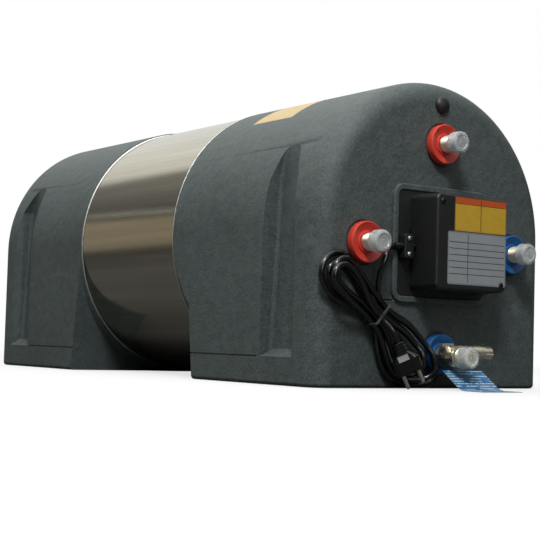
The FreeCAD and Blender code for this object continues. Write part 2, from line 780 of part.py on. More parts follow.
GASKET_OUT = -NECK_FACE_DEPTH + GASKET_THICKNESS
FLANGE_OUT = GASKET_OUT + HEATER_FLANGE_THICKNESS


def heater_gasket():
    """The flat ring between the neck and the heater flange."""
    ring = rod(NECK_RADIUS, -NECK_FACE_DEPTH, GASKET_OUT, 0.0, HEATER_Z)
    ring = ring.cut(rod(NECK_BORE, -NECK_FACE_DEPTH, GASKET_OUT, 0.0, HEATER_Z))
    for x, z in bolt_places():
        ring = ring.cut(rod(BOLT_RADIUS + TOUCH_GAP, -NECK_FACE_DEPTH, GASKET_OUT, x, z))
    return ring


def element_legs():
    """Centres of the heating element's two legs in the flange."""
    return [(-ELEMENT_HALF_PITCH, ELEMENT_Z), (ELEMENT_HALF_PITCH, ELEMENT_Z)]


def heater_flange():
    """The disc that carries the element, the anode and the thermostat's well."""
    disc = rod(NECK_RADIUS, GASKET_OUT, FLANGE_OUT, 0.0, HEATER_Z)
    for x, z in bolt_places():
        disc = disc.cut(rod(BOLT_RADIUS + TOUCH_GAP, GASKET_OUT, FLANGE_OUT, x, z))
    for x, z in element_legs():
        disc = disc.cut(rod(ELEMENT_RADIUS + TOUCH_GAP, GASKET_OUT, FLANGE_OUT, x, z))
    disc = disc.cut(rod(WELL_RADIUS + TOUCH_GAP, GASKET_OUT, FLANGE_OUT, WELL_X, WELL_Z))
    return disc


def heater_bolts():
    """The bolts of the heater flange, as one group."""
    bolts = []
    for x, z in bolt_places():
        head = hexagon(BOLT_HEAD_RADIUS * math.cos(math.pi / 6), panel(x, FLANGE_OUT, z), BOLT_HEAD_HEIGHT, Vector(0, -1, 0))
        shank = rod(BOLT_RADIUS, -NECK_FACE_DEPTH - BOLT_GRIP + 1.0, FLANGE_OUT, x, z)
        bolts.append(head.fuse(shank))
    return Part.makeCompound(bolts)


def heating_element():
    """A sheathed hairpin element."""
    tail = FLANGE_OUT + ELEMENT_TAIL
    turn_y = FRONT_Y + ELEMENT_REACH - ELEMENT_HALF_PITCH
    left = panel(-ELEMENT_HALF_PITCH, tail, ELEMENT_Z)
    right = panel(ELEMENT_HALF_PITCH, tail, ELEMENT_Z)
    left_end = Vector(left.x, turn_y, left.z)
    right_end = Vector(right.x, turn_y, right.z)
    tip = Vector(0, turn_y + ELEMENT_HALF_PITCH, left.z)
    path = Part.Wire(
        [
            Part.LineSegment(left, left_end).toShape(),
            Part.Arc(left_end, tip, right_end).toShape(),
            Part.LineSegment(right_end, right).toShape(),
        ]
    )
    return swept(path, ELEMENT_RADIUS)


def swept(path, radius):
    """A round bar along a path."""
    edge = path.OrderedEdges[0]
    start = edge.valueAt(edge.FirstParameter)
    tangent = edge.tangentAt(edge.FirstParameter)
    if edge.Orientation == "Reversed":
        start = edge.valueAt(edge.LastParameter)
        tangent = edge.tangentAt(edge.LastParameter) * -1.0
    profile = Part.Wire(Part.makeCircle(radius, start, tangent))
    solid = path.makePipeShell([profile], True, False)
    if isinstance(solid, Part.Shell) or not solid.Solids:
        solid = Part.Solid(solid)
    return solid


def thermowell():
    """The closed pocket for the thermostat's bulb."""
    well = rod(WELL_RADIUS, FLANGE_OUT + 2.0, -WELL_LENGTH, WELL_X, WELL_Z)
    return well.cut(rod(WELL_RADIUS - 1.0, FLANGE_OUT + 2.0, -WELL_LENGTH + 2.0, WELL_X, WELL_Z))


def anode_rod():
    """The sacrificial rod, screwed to the inside of the flange."""
    body = rod(ANODE_RADIUS, GASKET_OUT - 4.0, -ANODE_LENGTH, 0.0, ANODE_Z)
    stud = rod(4.0, GASKET_OUT, GASKET_OUT - 4.0, 0.0, ANODE_Z)
    return body.fuse(stud)


def engine_coil():
    """A hairpin pipe in one level plane between the two engine stubs."""
    pitch = 2.0 * SIDE_FITTING_X / 3.0
    xs = [-SIDE_FITTING_X + i * pitch for i in range(4)]
    start = FRONT_Y + COIL_START_DEPTH
    rear = FRONT_Y + COIL_REAR_BEND
    front = FRONT_Y + COIL_FRONT_BEND
    bend = pitch / 2.0
    z = SIDE_FITTING_Z

    def straight(x, y0, y1):
        return Part.LineSegment(Vector(x, y0, z), Vector(x, y1, z)).toShape()

    def turn(x, y, way):
        middle = Vector(x + bend, y + way * bend, z)
        return Part.Arc(Vector(x, y, z), middle, Vector(x + pitch, y, z)).toShape()

    path = Part.Wire(
        [
            straight(xs[0], start, rear),
            turn(xs[0], rear, 1),
            straight(xs[1], rear, front),
            turn(xs[1], front, -1),
            straight(xs[2], front, rear),
            turn(xs[2], rear, 1),
            straight(xs[3], rear, start),
        ]
    )
    return swept(path, COIL_RADIUS).cut(swept(path, COIL_BORE_RADIUS))


def stub(x, z, reach, inner_depth):
    """A threaded pipe through the panel, the foam and the tank head."""
    pipe = rod(THREAD_RADIUS, -inner_depth, reach, x, z)
    rims = edges_near(pipe, lambda m: abs(m.y - (FRONT_Y - reach)) < 0.01)
    pipe = pipe.makeChamfer(0.8, rims)
    return pipe.cut(rod(STUB_BORE_RADIUS, -inner_depth - 1.0, reach + 1.0, x, z))


def collar(x, z):
    """A dished plastic collar on the panel round a stub."""
    seat = -COLLAR_SEAT_DEPTH
    bore = THREAD_RADIUS + TOUCH_GAP
    profile = [
        (seat, bore),
        (seat, COLLAR_RADIUS - 3.0),
        (COLLAR_HEIGHT - 5.5, COLLAR_RADIUS),
        (COLLAR_HEIGHT - 1.0, COLLAR_RADIUS),
        (COLLAR_HEIGHT, COLLAR_RADIUS - 1.2),
        (COLLAR_HEIGHT - COLLAR_DISH, bore + 3.0),
        (COLLAR_HEIGHT - 2.0, bore + 1.8),
        (COLLAR_HEIGHT - 2.0, bore),
    ]
    return turned(profile, x, z)


def cap(x, z, start, end, reach):
    """A push-on transit cap: skirt, head and a blind bore over the thread."""
    bore = THREAD_RADIUS + CAP_GAP
    bore_end = min(end - CAP_END_WALL, reach + 1.0)
    skirt_end = start + CAP_SKIRT_LENGTH
    profile = [
        (start, bore),
        (start, CAP_SKIRT_RADIUS),
        (skirt_end - 1.2, CAP_SKIRT_RADIUS),
        (skirt_end, CAP_RADIUS),
        (end, CAP_RADIUS),
        (end, CAP_RADIUS - 5.0),
        (end - 1.2, CAP_RADIUS - 6.0),
        (end - 1.2, 0.0),
        (bore_end, 0.0),
        (bore_end, bore),
    ]
    solid = turned(profile, x, z)
    rim = edges_near(solid, lambda m: abs(m.y - (FRONT_Y - end)) < 0.01 and math.hypot(m.x - x, m.z - z) > CAP_RADIUS - 0.5)
    return solid.makeFillet(CAP_ROUNDING, rim)


def dip_pipe():
    """The cold inlet's spreader: a closed pipe with side holes."""
    x, z = FITTINGS["cold"]
    pipe = rod(PIPE_RADIUS, -DIP_START_DEPTH, -DIP_END_DEPTH, x, z)
    pipe = pipe.cut(rod(PIPE_RADIUS - PIPE_WALL, -DIP_START_DEPTH + 1.0, -DIP_END_DEPTH + PIPE_WALL, x, z))
    for i in range(4):
        hole = Part.makeCylinder(2.5, 30.0, panel(x - 15.0, -DIP_END_DEPTH + 20.0 + 18.0 * i, z), Vector(1, 0, 0))
        pipe = pipe.cut(hole)
    return pipe


def hot_pickup():
    """The hot outlet's pipe, bent up to the top of the tank."""
    x, z = FITTINGS["hot"]
    start = FRONT_Y + DIP_START_DEPTH
    bend_y = FRONT_Y + STUB_INNER_DEPTH + 20.0
    a = Vector(x, start, z)
    b = Vector(x, bend_y, z)
    middle = Vector(x, bend_y + PICKUP_BEND * math.sin(math.pi / 4), z + PICKUP_BEND * (1 - math.cos(math.pi / 4)))
    c = Vector(x, bend_y + PICKUP_BEND, z + PICKUP_BEND)
    d = Vector(x, bend_y + PICKUP_BEND, PICKUP_TOP_Z)
    path = Part.Wire(
        [
            Part.LineSegment(a, b).toShape(),
            Part.Arc(b, middle, c).toShape(),
            Part.LineSegment(c, d).toShape(),
        ]
    )
    return swept(path, PIPE_RADIUS).cut(swept(path, PIPE_RADIUS - PIPE_WALL))


def blank_plug():
    """The domed plug of the foam filling hole."""
    radius = (PLUG_DOME_RADIUS**2 + PLUG_DOME_HEIGHT**2) / (2 * PLUG_DOME_HEIGHT)
    ball = Part.makeSphere(radius, panel(0.0, PLUG_DOME_HEIGHT - radius, PLUG_Z))
    dome = ball.common(rod(PLUG_DOME_RADIUS + 2.0, 0.0, 2 * radius, 0.0, PLUG_Z))
    stem = rod(PLUG_STEM_RADIUS, -PLUG_STEM_LENGTH, 0.5, 0.0, PLUG_Z)
    return one_solid(dome.fuse(stem))


def foot_inserts():
    """The threaded inserts under the feet, as one group."""
    inserts = []
    for place_in in (to_front, to_rear):
        for place in insert_places(1):
            body = Part.makeCylinder(INSERT_RADIUS - TOUCH_GAP, INSERT_LENGTH - TOUCH_GAP, place)
            inserts.append(place_in(body.cut(Part.makeCylinder(INSERT_BORE_RADIUS, INSERT_BORE_DEPTH, place))))
    return Part.makeCompound(inserts)


# Electric box


def cover_screw_places():
    """Two opposite corners of the cover."""
    inset = COVER_SCREW_INSET
    return [(COVER_LEFT + inset, COVER_TOP - inset), (COVER_RIGHT - inset, COVER_BOTTOM + inset)]


def box_tray():
    """The flat tray in the surround, open round the heater."""
    gap = SURROUND_WIDTH + TRAY_GAP
    tray = block(
        SURROUND_LEFT + gap,
        SURROUND_RIGHT - gap,
        SURROUND_BOTTOM + gap,
        SURROUND_TOP - gap,
        SURROUND_CORNER - SURROUND_WIDTH,
        0.0,
        TRAY_THICKNESS,
    )
    tray = tray.cut(rod(TRAY_OPENING_RADIUS, -1.0, TRAY_THICKNESS + 1.0, 0.0, HEATER_Z))
    for x, z in cover_screw_places():
        post = rod(POST_RADIUS, 0.0, COVER_HEIGHT - COVER_WALL - TOUCH_GAP, x, z)
        tray = tray.fuse(post)
    for x, z in cover_screw_places():
        tray = tray.cut(rod(COVER_SCREW_RADIUS + TOUCH_GAP, COVER_HEIGHT - 16.0, COVER_HEIGHT, x, z))
    for z in clamp_screw_heights():
        tray = tray.cut(rod(CLAMP_SCREW_RADIUS + TOUCH_GAP, -1.0, TRAY_THICKNESS + 1.0, clamp_middle(), z))
    return one_solid(tray)


def drafted_box(inset, out0, out1):
    """The cover's outside, or at an inset its inside: a loft that tapers towards the front."""
    rings = []
    for out, taper in ((out0, 0.0), (out1, COVER_DRAFT)):
        face = rounded_rectangle(
            COVER_LEFT + inset + taper,
            COVER_RIGHT - inset - taper,
            COVER_BOTTOM + inset + taper,
            COVER_TOP - inset - taper,
            COVER_CORNER - inset,
            out,
        )
        rings.append(face.OuterWire)
    return Part.makeLoft(rings, True, True)


def box_cover():
    """The cover of the electric box, with a raised rib along its left side and a mouth for the cord."""
    outer = drafted_box(0.0, TRAY_THICKNESS, COVER_HEIGHT)
    front = edges_near(outer, lambda m: abs(m.y - (FRONT_Y - COVER_HEIGHT)) < 0.01)
    outer = outer.makeFillet(COVER_EDGE_ROUNDING, front)
    cover = outer.cut(drafted_box(COVER_WALL, TRAY_THICKNESS - 1.0, COVER_HEIGHT - COVER_WALL))
    for x, z in cover_screw_places():
        cover = cover.cut(rod(COVER_SCREW_RADIUS + FIT_GAP, COVER_HEIGHT - COVER_WALL - 1.0, COVER_HEIGHT + 1.0, x, z))
    mouth = rod_x(SLEEVE_RADIUS + SLEEVE_GAP, COVER_LEFT - 5.0, COVER_LEFT + 8.0, CORD_AXIS_HEIGHT, CORD_EXIT_Z)
    return one_solid(cover.cut(mouth))


def cover_screws():
    """The two pan-head screws of the cover."""
    screws = []
    for x, z in cover_screw_places():
        top = COVER_HEIGHT + COVER_SCREW_HEAD_HEIGHT
        head = rod(COVER_SCREW_HEAD_RADIUS, COVER_HEIGHT, top, x, z)
        rim = edges_near(head, lambda m: abs(m.y - (FRONT_Y - top)) < 0.01)
        head = head.makeFillet(1.0, rim)
        shank = rod(COVER_SCREW_RADIUS, COVER_HEIGHT - COVER_SCREW_LENGTH, COVER_HEIGHT, x, z)
        screws.append(head.fuse(shank))
    return Part.makeCompound(screws)


def thermostat_body():
    """The thermostat's housing, which stands on the tray."""
    left, right = THERMOSTAT_LEFT, THERMOSTAT_LEFT + THERMOSTAT_WIDTH
    top = THERMOSTAT_BOTTOM + THERMOSTAT_HEIGHT
    face = TRAY_THICKNESS + THERMOSTAT_DEPTH
    body = block(left, right, THERMOSTAT_BOTTOM, top, 3.0, TRAY_THICKNESS, face)
    middle = (left + right) / 2.0
    shaft = rod(DIAL_SHAFT_RADIUS, face - 1.0, face + DIAL_HEIGHT - 2.0, middle, DIAL_Z)
    body = body.fuse(shaft)
    well = rod(RESET_RADIUS + FIT_GAP, face - RESET_TRAVEL - 3.0, face + 1.0, middle, RESET_Z)
    return one_solid(body.cut(well))


def thermostat_middle():
    return THERMOSTAT_LEFT + THERMOSTAT_WIDTH / 2.0


def thermostat_dial():
    """The dial with a pointer notch, on the thermostat's shaft."""
    face = TRAY_THICKNESS + THERMOSTAT_DEPTH
    x = thermostat_middle()
    dial = rod(DIAL_RADIUS, face + FIT_GAP, face + DIAL_HEIGHT, x, DIAL_Z)
    dial = dial.cut(rod(DIAL_SHAFT_RADIUS + SHAFT_RUNNING_GAP, face, face + DIAL_HEIGHT - 2.0 + TOUCH_GAP, x, DIAL_Z))
    slot = Part.makeBox(1.6, 1.2, DIAL_RADIUS)
    slot.translate(panel(x - 0.8, face + DIAL_HEIGHT, DIAL_Z + 1.0))
    return dial.cut(slot)


def reset_button():
    """The push button of the safety cut-out."""
    face = TRAY_THICKNESS + THERMOSTAT_DEPTH
    x = thermostat_middle()
    button = rod(RESET_RADIUS, face - 2.0, face + RESET_PROUD, x, RESET_Z)
    rim = edges_near(button, lambda m: abs(m.y - (FRONT_Y - face - RESET_PROUD)) < 0.01)
    return button.makeFillet(0.8, rim)


def terminal_block():
    """The terminal block on the tray, one well for each way."""
    left = TERMINAL_LEFT
    top = TERMINAL_BOTTOM + TERMINAL_HEIGHT
    face = TRAY_THICKNESS + TERMINAL_DEPTH
    body = block(left, left + TERMINAL_WIDTH, TERMINAL_BOTTOM, top, 1.5, TRAY_THICKNESS, face)
    for i in range(TERMINAL_WAYS):
        x = left + TERMINAL_WIDTH * (i + 0.5) / TERMINAL_WAYS
        body = body.cut(rod(3.0, face - 9.0, face + 1.0, x, TERMINAL_BOTTOM + TERMINAL_HEIGHT / 2.0))
    return body


def clamp_middle():
    return (CLAMP_LEFT + CLAMP_RIGHT) / 2.0


def clamp_screw_heights():
    return [CORD_EXIT_Z - CLAMP_SCREW_OFFSET, CORD_EXIT_Z + CLAMP_SCREW_OFFSET]


def clamp_bar():
    """The saddle that holds the cord's sleeve on the tray."""
    bar = block(
        CLAMP_LEFT,
        CLAMP_RIGHT,
        CORD_EXIT_Z - CLAMP_HALF_HEIGHT,
        CORD_EXIT_Z + CLAMP_HALF_HEIGHT,
        3.0,
        TRAY_THICKNESS,
        CLAMP_TOP,
    )
    front = edges_near(bar, lambda m: abs(m.y - (FRONT_Y - CLAMP_TOP)) < 0.01)
    bar = bar.makeFillet(1.2, front)
    wide = SLEEVE_RADIUS + TOUCH_GAP
    channel = rod_x(wide, CLAMP_LEFT - 1.0, CLAMP_RIGHT + 1.0, CORD_AXIS_HEIGHT, CORD_EXIT_Z)
    below = Part.makeBox(CLAMP_RIGHT - CLAMP_LEFT + 2.0, CORD_AXIS_HEIGHT, 2 * wide)
    below.translate(panel(CLAMP_LEFT - 1.0, CORD_AXIS_HEIGHT, CORD_EXIT_Z - wide))
    bar = bar.cut(channel.fuse(below))
    for z in clamp_screw_heights():
        bar = bar.cut(rod(CLAMP_SCREW_RADIUS + TOUCH_GAP, 0.0, CLAMP_TOP + 1.0, clamp_middle(), z))
    return one_solid(bar)


def clamp_screws():
    """The two screws of the clamp."""
    screws = []
    for z in clamp_screw_heights():
        head = rod(CLAMP_HEAD_RADIUS, CLAMP_TOP, CLAMP_TOP + CLAMP_HEAD_HEIGHT, clamp_middle(), z)
        rim = edges_near(head, lambda m: abs(m.y - (FRONT_Y - CLAMP_TOP - CLAMP_HEAD_HEIGHT)) < 0.01)
        head = head.makeFillet(1.0, rim)
        screws.append(head.fuse(rod(CLAMP_SCREW_RADIUS, CLAMP_TOP - CLAMP_SCREW_DEPTH, CLAMP_TOP, clamp_middle(), z)))
    return Part.makeCompound(screws)


def strain_relief():
    """The moulded sleeve on the cord, gripped by the clamp."""
    straight = rod_x(SLEEVE_RADIUS, CLAMP_LEFT, SLEEVE_START_X, CORD_AXIS_HEIGHT, CORD_EXIT_Z)
    taper = Part.makeCone(
        SLEEVE_END_RADIUS,
        SLEEVE_RADIUS,
        CLAMP_LEFT - CORD_EXIT_X,
        panel(CORD_EXIT_X, CORD_AXIS_HEIGHT, CORD_EXIT_Z),
        Vector(1, 0, 0),
    )
    return one_solid(straight.fuse(taper))


# Safety valve. Its barrel hangs a little lower than the stub, and a cross tube carries the relief parts.


def valve_body():
    """The cast body: socket, barrel, capped inlet and cross tube, with their bores."""
    socket = hexagon(
        VALVE_HEX_HALF, panel(0.0, VALVE_SOCKET_START, COLD_FITTING_Z), VALVE_HEX_END - VALVE_SOCKET_START, Vector(0, -1, 0)
    )
    barrel = rod(VALVE_BARREL_RADIUS, VALVE_HEX_END - 3.0, VALVE_BARREL_END, 0.0, VALVE_Z)
    rim = edges_near(barrel, lambda m: abs(m.y - (FRONT_Y - VALVE_BARREL_END)) < 0.01)
    barrel = barrel.makeFillet(2.0, rim)
    inlet = rod(THREAD_RADIUS, VALVE_BARREL_END - 1.0, VALVE_INLET_END, 0.0, VALVE_Z)
    cross = rod_x(CROSS_RADIUS, CROSS_LEFT, CROSS_RIGHT, CROSS_DEPTH, CROSS_Z)
    nozzle = hexagon(
        NOZZLE_HEX_HALF, panel(NOZZLE_LEFT, CROSS_DEPTH, CROSS_Z), CROSS_LEFT - NOZZLE_LEFT + 1.0, Vector(1, 0, 0)
    )
    body = socket.fuse(barrel).fuse(inlet).fuse(cross).fuse(nozzle)
    bores = [
        rod(THREAD_RADIUS + TOUCH_GAP, VALVE_SOCKET_START - 1.0, VALVE_STUB_REACH + TOUCH_GAP, 0.0, COLD_FITTING_Z),
        rod(VALVE_BORE_RADIUS, VALVE_STUB_REACH - 1.0, CHECK_CHAMBER_END + 1.0, 0.0, VALVE_Z),
        rod(CHECK_CHAMBER_RADIUS, CHECK_CHAMBER_END, CHECK_SEAT_DEPTH, 0.0, VALVE_Z),
        rod(CHECK_INLET_RADIUS, CHECK_SEAT_DEPTH - 1.0, VALVE_INLET_END + 1.0, 0.0, VALVE_Z),
        rod_x(CROSS_BORE_RADIUS, RELIEF_SEAT_X - 1.0, CROSS_RIGHT - 1.5, CROSS_DEPTH, CROSS_Z),
        rod_x(STEM_RADIUS + STEM_GAP, CROSS_RIGHT - 2.0, CROSS_RIGHT + 1.0, CROSS_DEPTH, CROSS_Z),
        rod_x(RELIEF_CHAMBER_RADIUS, CROSS_LEFT, RELIEF_SEAT_X, CROSS_DEPTH, CROSS_Z),
        rod_x(NOZZLE_BORE_RADIUS, NOZZLE_LEFT - 1.0, CROSS_LEFT + 1.0, CROSS_DEPTH, CROSS_Z),
    ]
    for bore in bores:
        body = body.cut(bore)
    return one_solid(body)


def valve_bonnet():
    """The cup on the cross tube that holds the relief spring."""
    cup = rod_x(BONNET_RADIUS, CROSS_RIGHT + TOUCH_GAP, BONNET_END, CROSS_DEPTH, CROSS_Z)
    rim = edges_near(cup, lambda m: abs(m.x - BONNET_END) < 0.01)
    cup = cup.makeChamfer(1.0, rim)
    nose = rod_x(BONNET_NOSE_RADIUS, BONNET_END - 1.0, BONNET_NOSE_END, CROSS_DEPTH, CROSS_Z)
    cup = cup.fuse(nose)
    cup = cup.cut(rod_x(BONNET_BORE_RADIUS, CROSS_RIGHT, BONNET_END - BONNET_END_WALL, CROSS_DEPTH, CROSS_Z))
    return one_solid(cup.cut(rod_x(STEM_RADIUS + STEM_GAP, CROSS_RIGHT, BONNET_NOSE_END + 1.0, CROSS_DEPTH, CROSS_Z)))


def relief_stem():
    """The relief disc, its stem and the collar that the spring pushes."""
    disc = rod_x(
        RELIEF_DISC_RADIUS,
        RELIEF_SEAT_X - TOUCH_GAP - RELIEF_DISC_THICKNESS,
        RELIEF_SEAT_X - TOUCH_GAP,
        CROSS_DEPTH,
        CROSS_Z,
    )
    stem = rod_x(STEM_RADIUS, RELIEF_SEAT_X - 1.0, STEM_END, CROSS_DEPTH, CROSS_Z)
    disc = disc.fuse(stem)
    collar_ring = rod_x(
        STEM_COLLAR_RADIUS, STEM_COLLAR_X, STEM_COLLAR_X + STEM_COLLAR_THICKNESS, CROSS_DEPTH, CROSS_Z
    )
    return one_solid(disc.fuse(collar_ring))


def relief_spring():
    """The relief spring as a sleeve of its outer and inner size."""
    start = CROSS_RIGHT + SPRING_END_GAP
    end = STEM_COLLAR_X - SPRING_END_GAP
    outer = BONNET_BORE_RADIUS - 0.8
    return rod_x(outer, start, end, CROSS_DEPTH, CROSS_Z).cut(
        rod_x(outer - SPRING_WALL, start, end, CROSS_DEPTH, CROSS_Z)
    )


def valve_knob():
    """The turning knob of the relief valve, fluted, with a cavity over the bonnet's nose."""
    knob = rod_x(KNOB_RADIUS, KNOB_START, KNOB_END, CROSS_DEPTH, CROSS_Z)
    rim = edges_near(knob, lambda m: abs(m.x - KNOB_END) < 0.01)
    knob = knob.makeFillet(2.2, rim)
    for i in range(KNOB_GRIPS):
        turn = 2 * math.pi * i / KNOB_GRIPS
        out = CROSS_DEPTH + (KNOB_RADIUS + 0.6) * math.cos(turn)
        z = CROSS_Z + (KNOB_RADIUS + 0.6) * math.sin(turn)
        knob = knob.cut(rod_x(KNOB_GRIP_RADIUS, KNOB_START + 3.0, KNOB_END + 1.0, out, z))
    bore = rod_x(BONNET_NOSE_RADIUS + SHAFT_RUNNING_GAP, KNOB_START - 1.0, BONNET_NOSE_END + 0.4, CROSS_DEPTH, CROSS_Z)
    cavity = rod_x(STEM_RADIUS + STEM_GAP, BONNET_NOSE_END, KNOB_CAVITY_END, CROSS_DEPTH, CROSS_Z)
    return one_solid(knob.cut(bore).cut(cavity))


def check_disc():
    """The non-return disc on its seat."""
    far = CHECK_SEAT_DEPTH - TOUCH_GAP
    disc = rod(CHECK_DISC_RADIUS, far - CHECK_DISC_THICKNESS, far, 0.0, VALVE_Z)
    guide = rod(2.0, far - CHECK_DISC_THICKNESS - 4.0, far - CHECK_DISC_THICKNESS, 0.0, VALVE_Z)
    return one_solid(disc.fuse(guide))


def check_spring():
    """The non-return spring as a sleeve of its outer and inner size."""
    start = CHECK_SEAT_DEPTH - TOUCH_GAP - CHECK_DISC_THICKNESS - SPRING_END_GAP
    end = CHECK_CHAMBER_END + SPRING_END_GAP
    outer = CHECK_CHAMBER_RADIUS - 0.6
    return rod(outer, start, end, 0.0, VALVE_Z).cut(rod(outer - SPRING_WALL, start, end, 0.0, VALVE_Z))


# Mains cord


def corner_path(points):
    """Straight runs joined by tangent arcs, each as large as its two runs allow."""
    edges = []
    radii = []
    here = points[0]
    for i in range(1, len(points) - 1):
        before, corner, after = points[i - 1], points[i], points[i + 1]
        arrive, leave = unit(corner - before), unit(after - corner)
        run = min((corner - before).Length, (after - corner).Length)
        turn = arrive.getAngle(leave)
        trim = 0.45 * run
        start, end = corner - arrive * trim, corner + leave * trim
        radius = trim / math.tan(turn / 2.0)
        centre = corner + unit(leave - arrive) * math.hypot(radius, trim)
        middle = centre + unit(corner - centre) * radius
        edges.append(Part.LineSegment(here, start).toShape())
        edges.append(Part.Arc(start, middle, end).toShape())
        radii.append(radius)
        here = end
    edges.append(Part.LineSegment(here, points[-1]).toShape())
    return edges, radii


def arc_on(p, tangent, q):
    """The arc from p to q that leaves p along a tangent, and its direction at q."""
    chord = q - p
    across = chord - tangent * chord.dot(tangent)
    if across.Length < 1e-6:
        return Part.LineSegment(p, q).toShape(), Vector(tangent)
    side = unit(across)
    radius = chord.dot(chord) / (2.0 * chord.dot(side))
    centre = p + side * radius
    middle = centre + unit((p - centre) + (q - centre)) * radius
    if chord.dot(tangent) < 0:
        middle = centre - unit((p - centre) + (q - centre)) * radius
    end = unit(chord * (2.0 * chord.dot(tangent) / chord.dot(chord)) - tangent)
    return Part.Arc(p, middle, q).toShape(), end


def biarc(p, t, q, u):
    """Two tangent arcs from point p, direction t, to point q, direction u."""
    v = q - p
    dot = v.dot(t + u)
    den = 2.0 * (1.0 - t.dot(u))
    if den < 1e-9:
        d = v.dot(v) / (4.0 * v.dot(u))
    else:
        d = (-dot + math.sqrt(dot * dot + den * v.dot(v))) / den
    join = (p + q + (t - u) * d) * 0.5
    first, direction = arc_on(p, t, join)
    second, last = arc_on(join, direction, q)
    return [first, second]


def cord_point(point):
    """A chosen point of the cord, given with y from the front panel."""
    return Vector(point[0], FRONT_Y + point[1], point[2])


def hank_axes():
    """The hank's axes in the panel's plane: along it, downwards, and across it, towards the upper right."""
    along = unit(Vector(*HANK_SLOPE))
    return along, Vector(0, 1, 0).cross(along) * -1.0


def hank_point(place, across, layer):
    """A point of the hank that lies across millimetres from a place, on one of its layers."""
    along, side = hank_axes()
    return cord_point(place) + side * across + Vector(0, -HANK_LAYER_STEP * layer, 0)


def waist_place(slot, layer):
    """A run's place in the tied waist: four slots on a layer, each layer half a step further over."""
    across = WAIST_SHIFT + WAIST_STEP * (1.5 - slot - 0.5 * layer)
    return hank_point(HANK_WAIST, across, layer)


def hank_path():
    """The hank's turns: two that spiral in on one layer, two that spiral out on the next, then the plug's tail.

    Each turn is a run down, the lower loop, a run up and the upper bend. A layer is climbed along a run.
    """
    along, side = hank_axes()
    down, left = Vector(0, 0, -1), Vector(-1, 0, 0)
    rising = unit(Vector(*LOWER_LEFT_HEADING))
    edges = []
    here = waist_place(0, 0)
    for k in range(HANK_TURNS):
        layer = k // 2
        inner = k in (1, 2)
        nest = 2 * k if layer == 0 else 2 * (HANK_TURNS - k) - 1
        inset = LOWER_STEP * nest
        lift = Vector(0, -HANK_LAYER_STEP * layer, 0)
        shoulder = hank_point(HANK_WAIST, LOWER_SHOULDER_ACROSS - inset, layer) + along * LOWER_SHOULDER_ALONG
        shoulder.y -= LOWER_SHOULDER_LIFT
        right = cord_point(LOWER_RIGHT) + Vector(*LOWER_RIGHT_INSET) * inset + lift
        bottom = cord_point(LOWER_BOTTOM) + Vector(*LOWER_BOTTOM_INSET) * inset + lift
        far = cord_point(LOWER_LEFT) + Vector(*LOWER_LEFT_INSET) * inset + lift
        rise = waist_place(2 if inner else 3, layer)
        top_layer = layer if k < HANK_TURNS - 1 else layer + 1
        bend_left = UPPER_STEP * nest - UPPER_LEFT_REACH
        bend_right = UPPER_RIGHT_REACH - UPPER_STEP * (2 * (k % 2) + layer)
        radius = (bend_right - bend_left) / 2.0
        up_in = hank_point(HANK_UPPER, bend_left, top_layer)
        up_tip = hank_point(HANK_UPPER, bend_left + radius, top_layer) - along * radius
        up_out = hank_point(HANK_UPPER, bend_right, top_layer)
        following = (waist_place(1, 0), waist_place(1, 1), waist_place(0, 1), waist_place(1.5, 2))[k]
        edges += biarc(here, along, shoulder, along)
        edges += biarc(shoulder, along, right, down)
        edges += biarc(right, down, bottom, left)
        edges += biarc(bottom, left, far, rising)
        edges += biarc(far, rising, rise, along * -1.0)
        edges += biarc(rise, along * -1.0, up_in, along * -1.0)
        edges.append(Part.Arc(up_in, up_tip, up_out).toShape())
        edges += biarc(up_out, along, following, along)
        here = following
    axis = unit(Vector(*PLUG_AXIS))
    tail = cord_point(PLUG_FACE) - axis * (PLUG_BODY_LENGTH + PLUG_TAIL_LENGTH)
    straight = tail - axis * (2 * CORD_RADIUS)
    edges += biarc(here, along, straight, axis)
    edges.append(Part.LineSegment(straight, tail).toShape())
    return edges


def least_gap(edges, spacing=3.0, skip=4.0 * CORD_RADIUS):
    """The least clear distance of the tube to itself, on points along its path."""
    points = []
    walked = 0.0
    for edge in edges:
        count = max(2, int(edge.Length / spacing))
        for i in range(count):
            part = (edge.LastParameter - edge.FirstParameter) * i / count
            points.append((walked + edge.Length * i / count, edge.valueAt(edge.FirstParameter + part)))
        walked += edge.Length
    least = FAR
    for i, (s, p) in enumerate(points):
        for t, q in points[i + 1 :]:
            if t - s > skip:
                least = min(least, (p - q).Length)
    return least - 2 * CORD_RADIUS, walked


def lead_path():
    """The lead from the clamp down to the hank's first turn."""
    along, side = hank_axes()
    points = [panel(CORD_EXIT_X, CORD_AXIS_HEIGHT, CORD_EXIT_Z)]
    points += [cord_point(p) for p in LEAD_POINTS]
    edges, radii = corner_path(points)
    last = unit(points[-1] - points[-2])
    edges += biarc(points[-1], last, waist_place(0, 0), along)
    print("lead radii", [round(r, 1) for r in radii])
    return edges


def tube(edges, name):
    """The cord's solid along a path, compared with its section times its length."""
    path = Part.Wire(edges)
    solid = swept(path, CORD_RADIUS)
    ratio = solid.Volume / (math.pi * CORD_RADIUS**2 * path.Length)
    print(name, "length", round(path.Length, 1), "volume ratio", round(ratio, 4), "valid", solid.isValid())
    return solid


def power_lead():
    return tube(lead_path(), "power_lead")


def cord_hank():
    edges = hank_path()
    gap, length = least_gap(edges)
    print("cord_hank least gap", round(gap, 2), "low z", round(min(e.BoundBox.ZMin for e in edges) - CORD_RADIUS, 2))
    return tube(edges, "cord_hank")


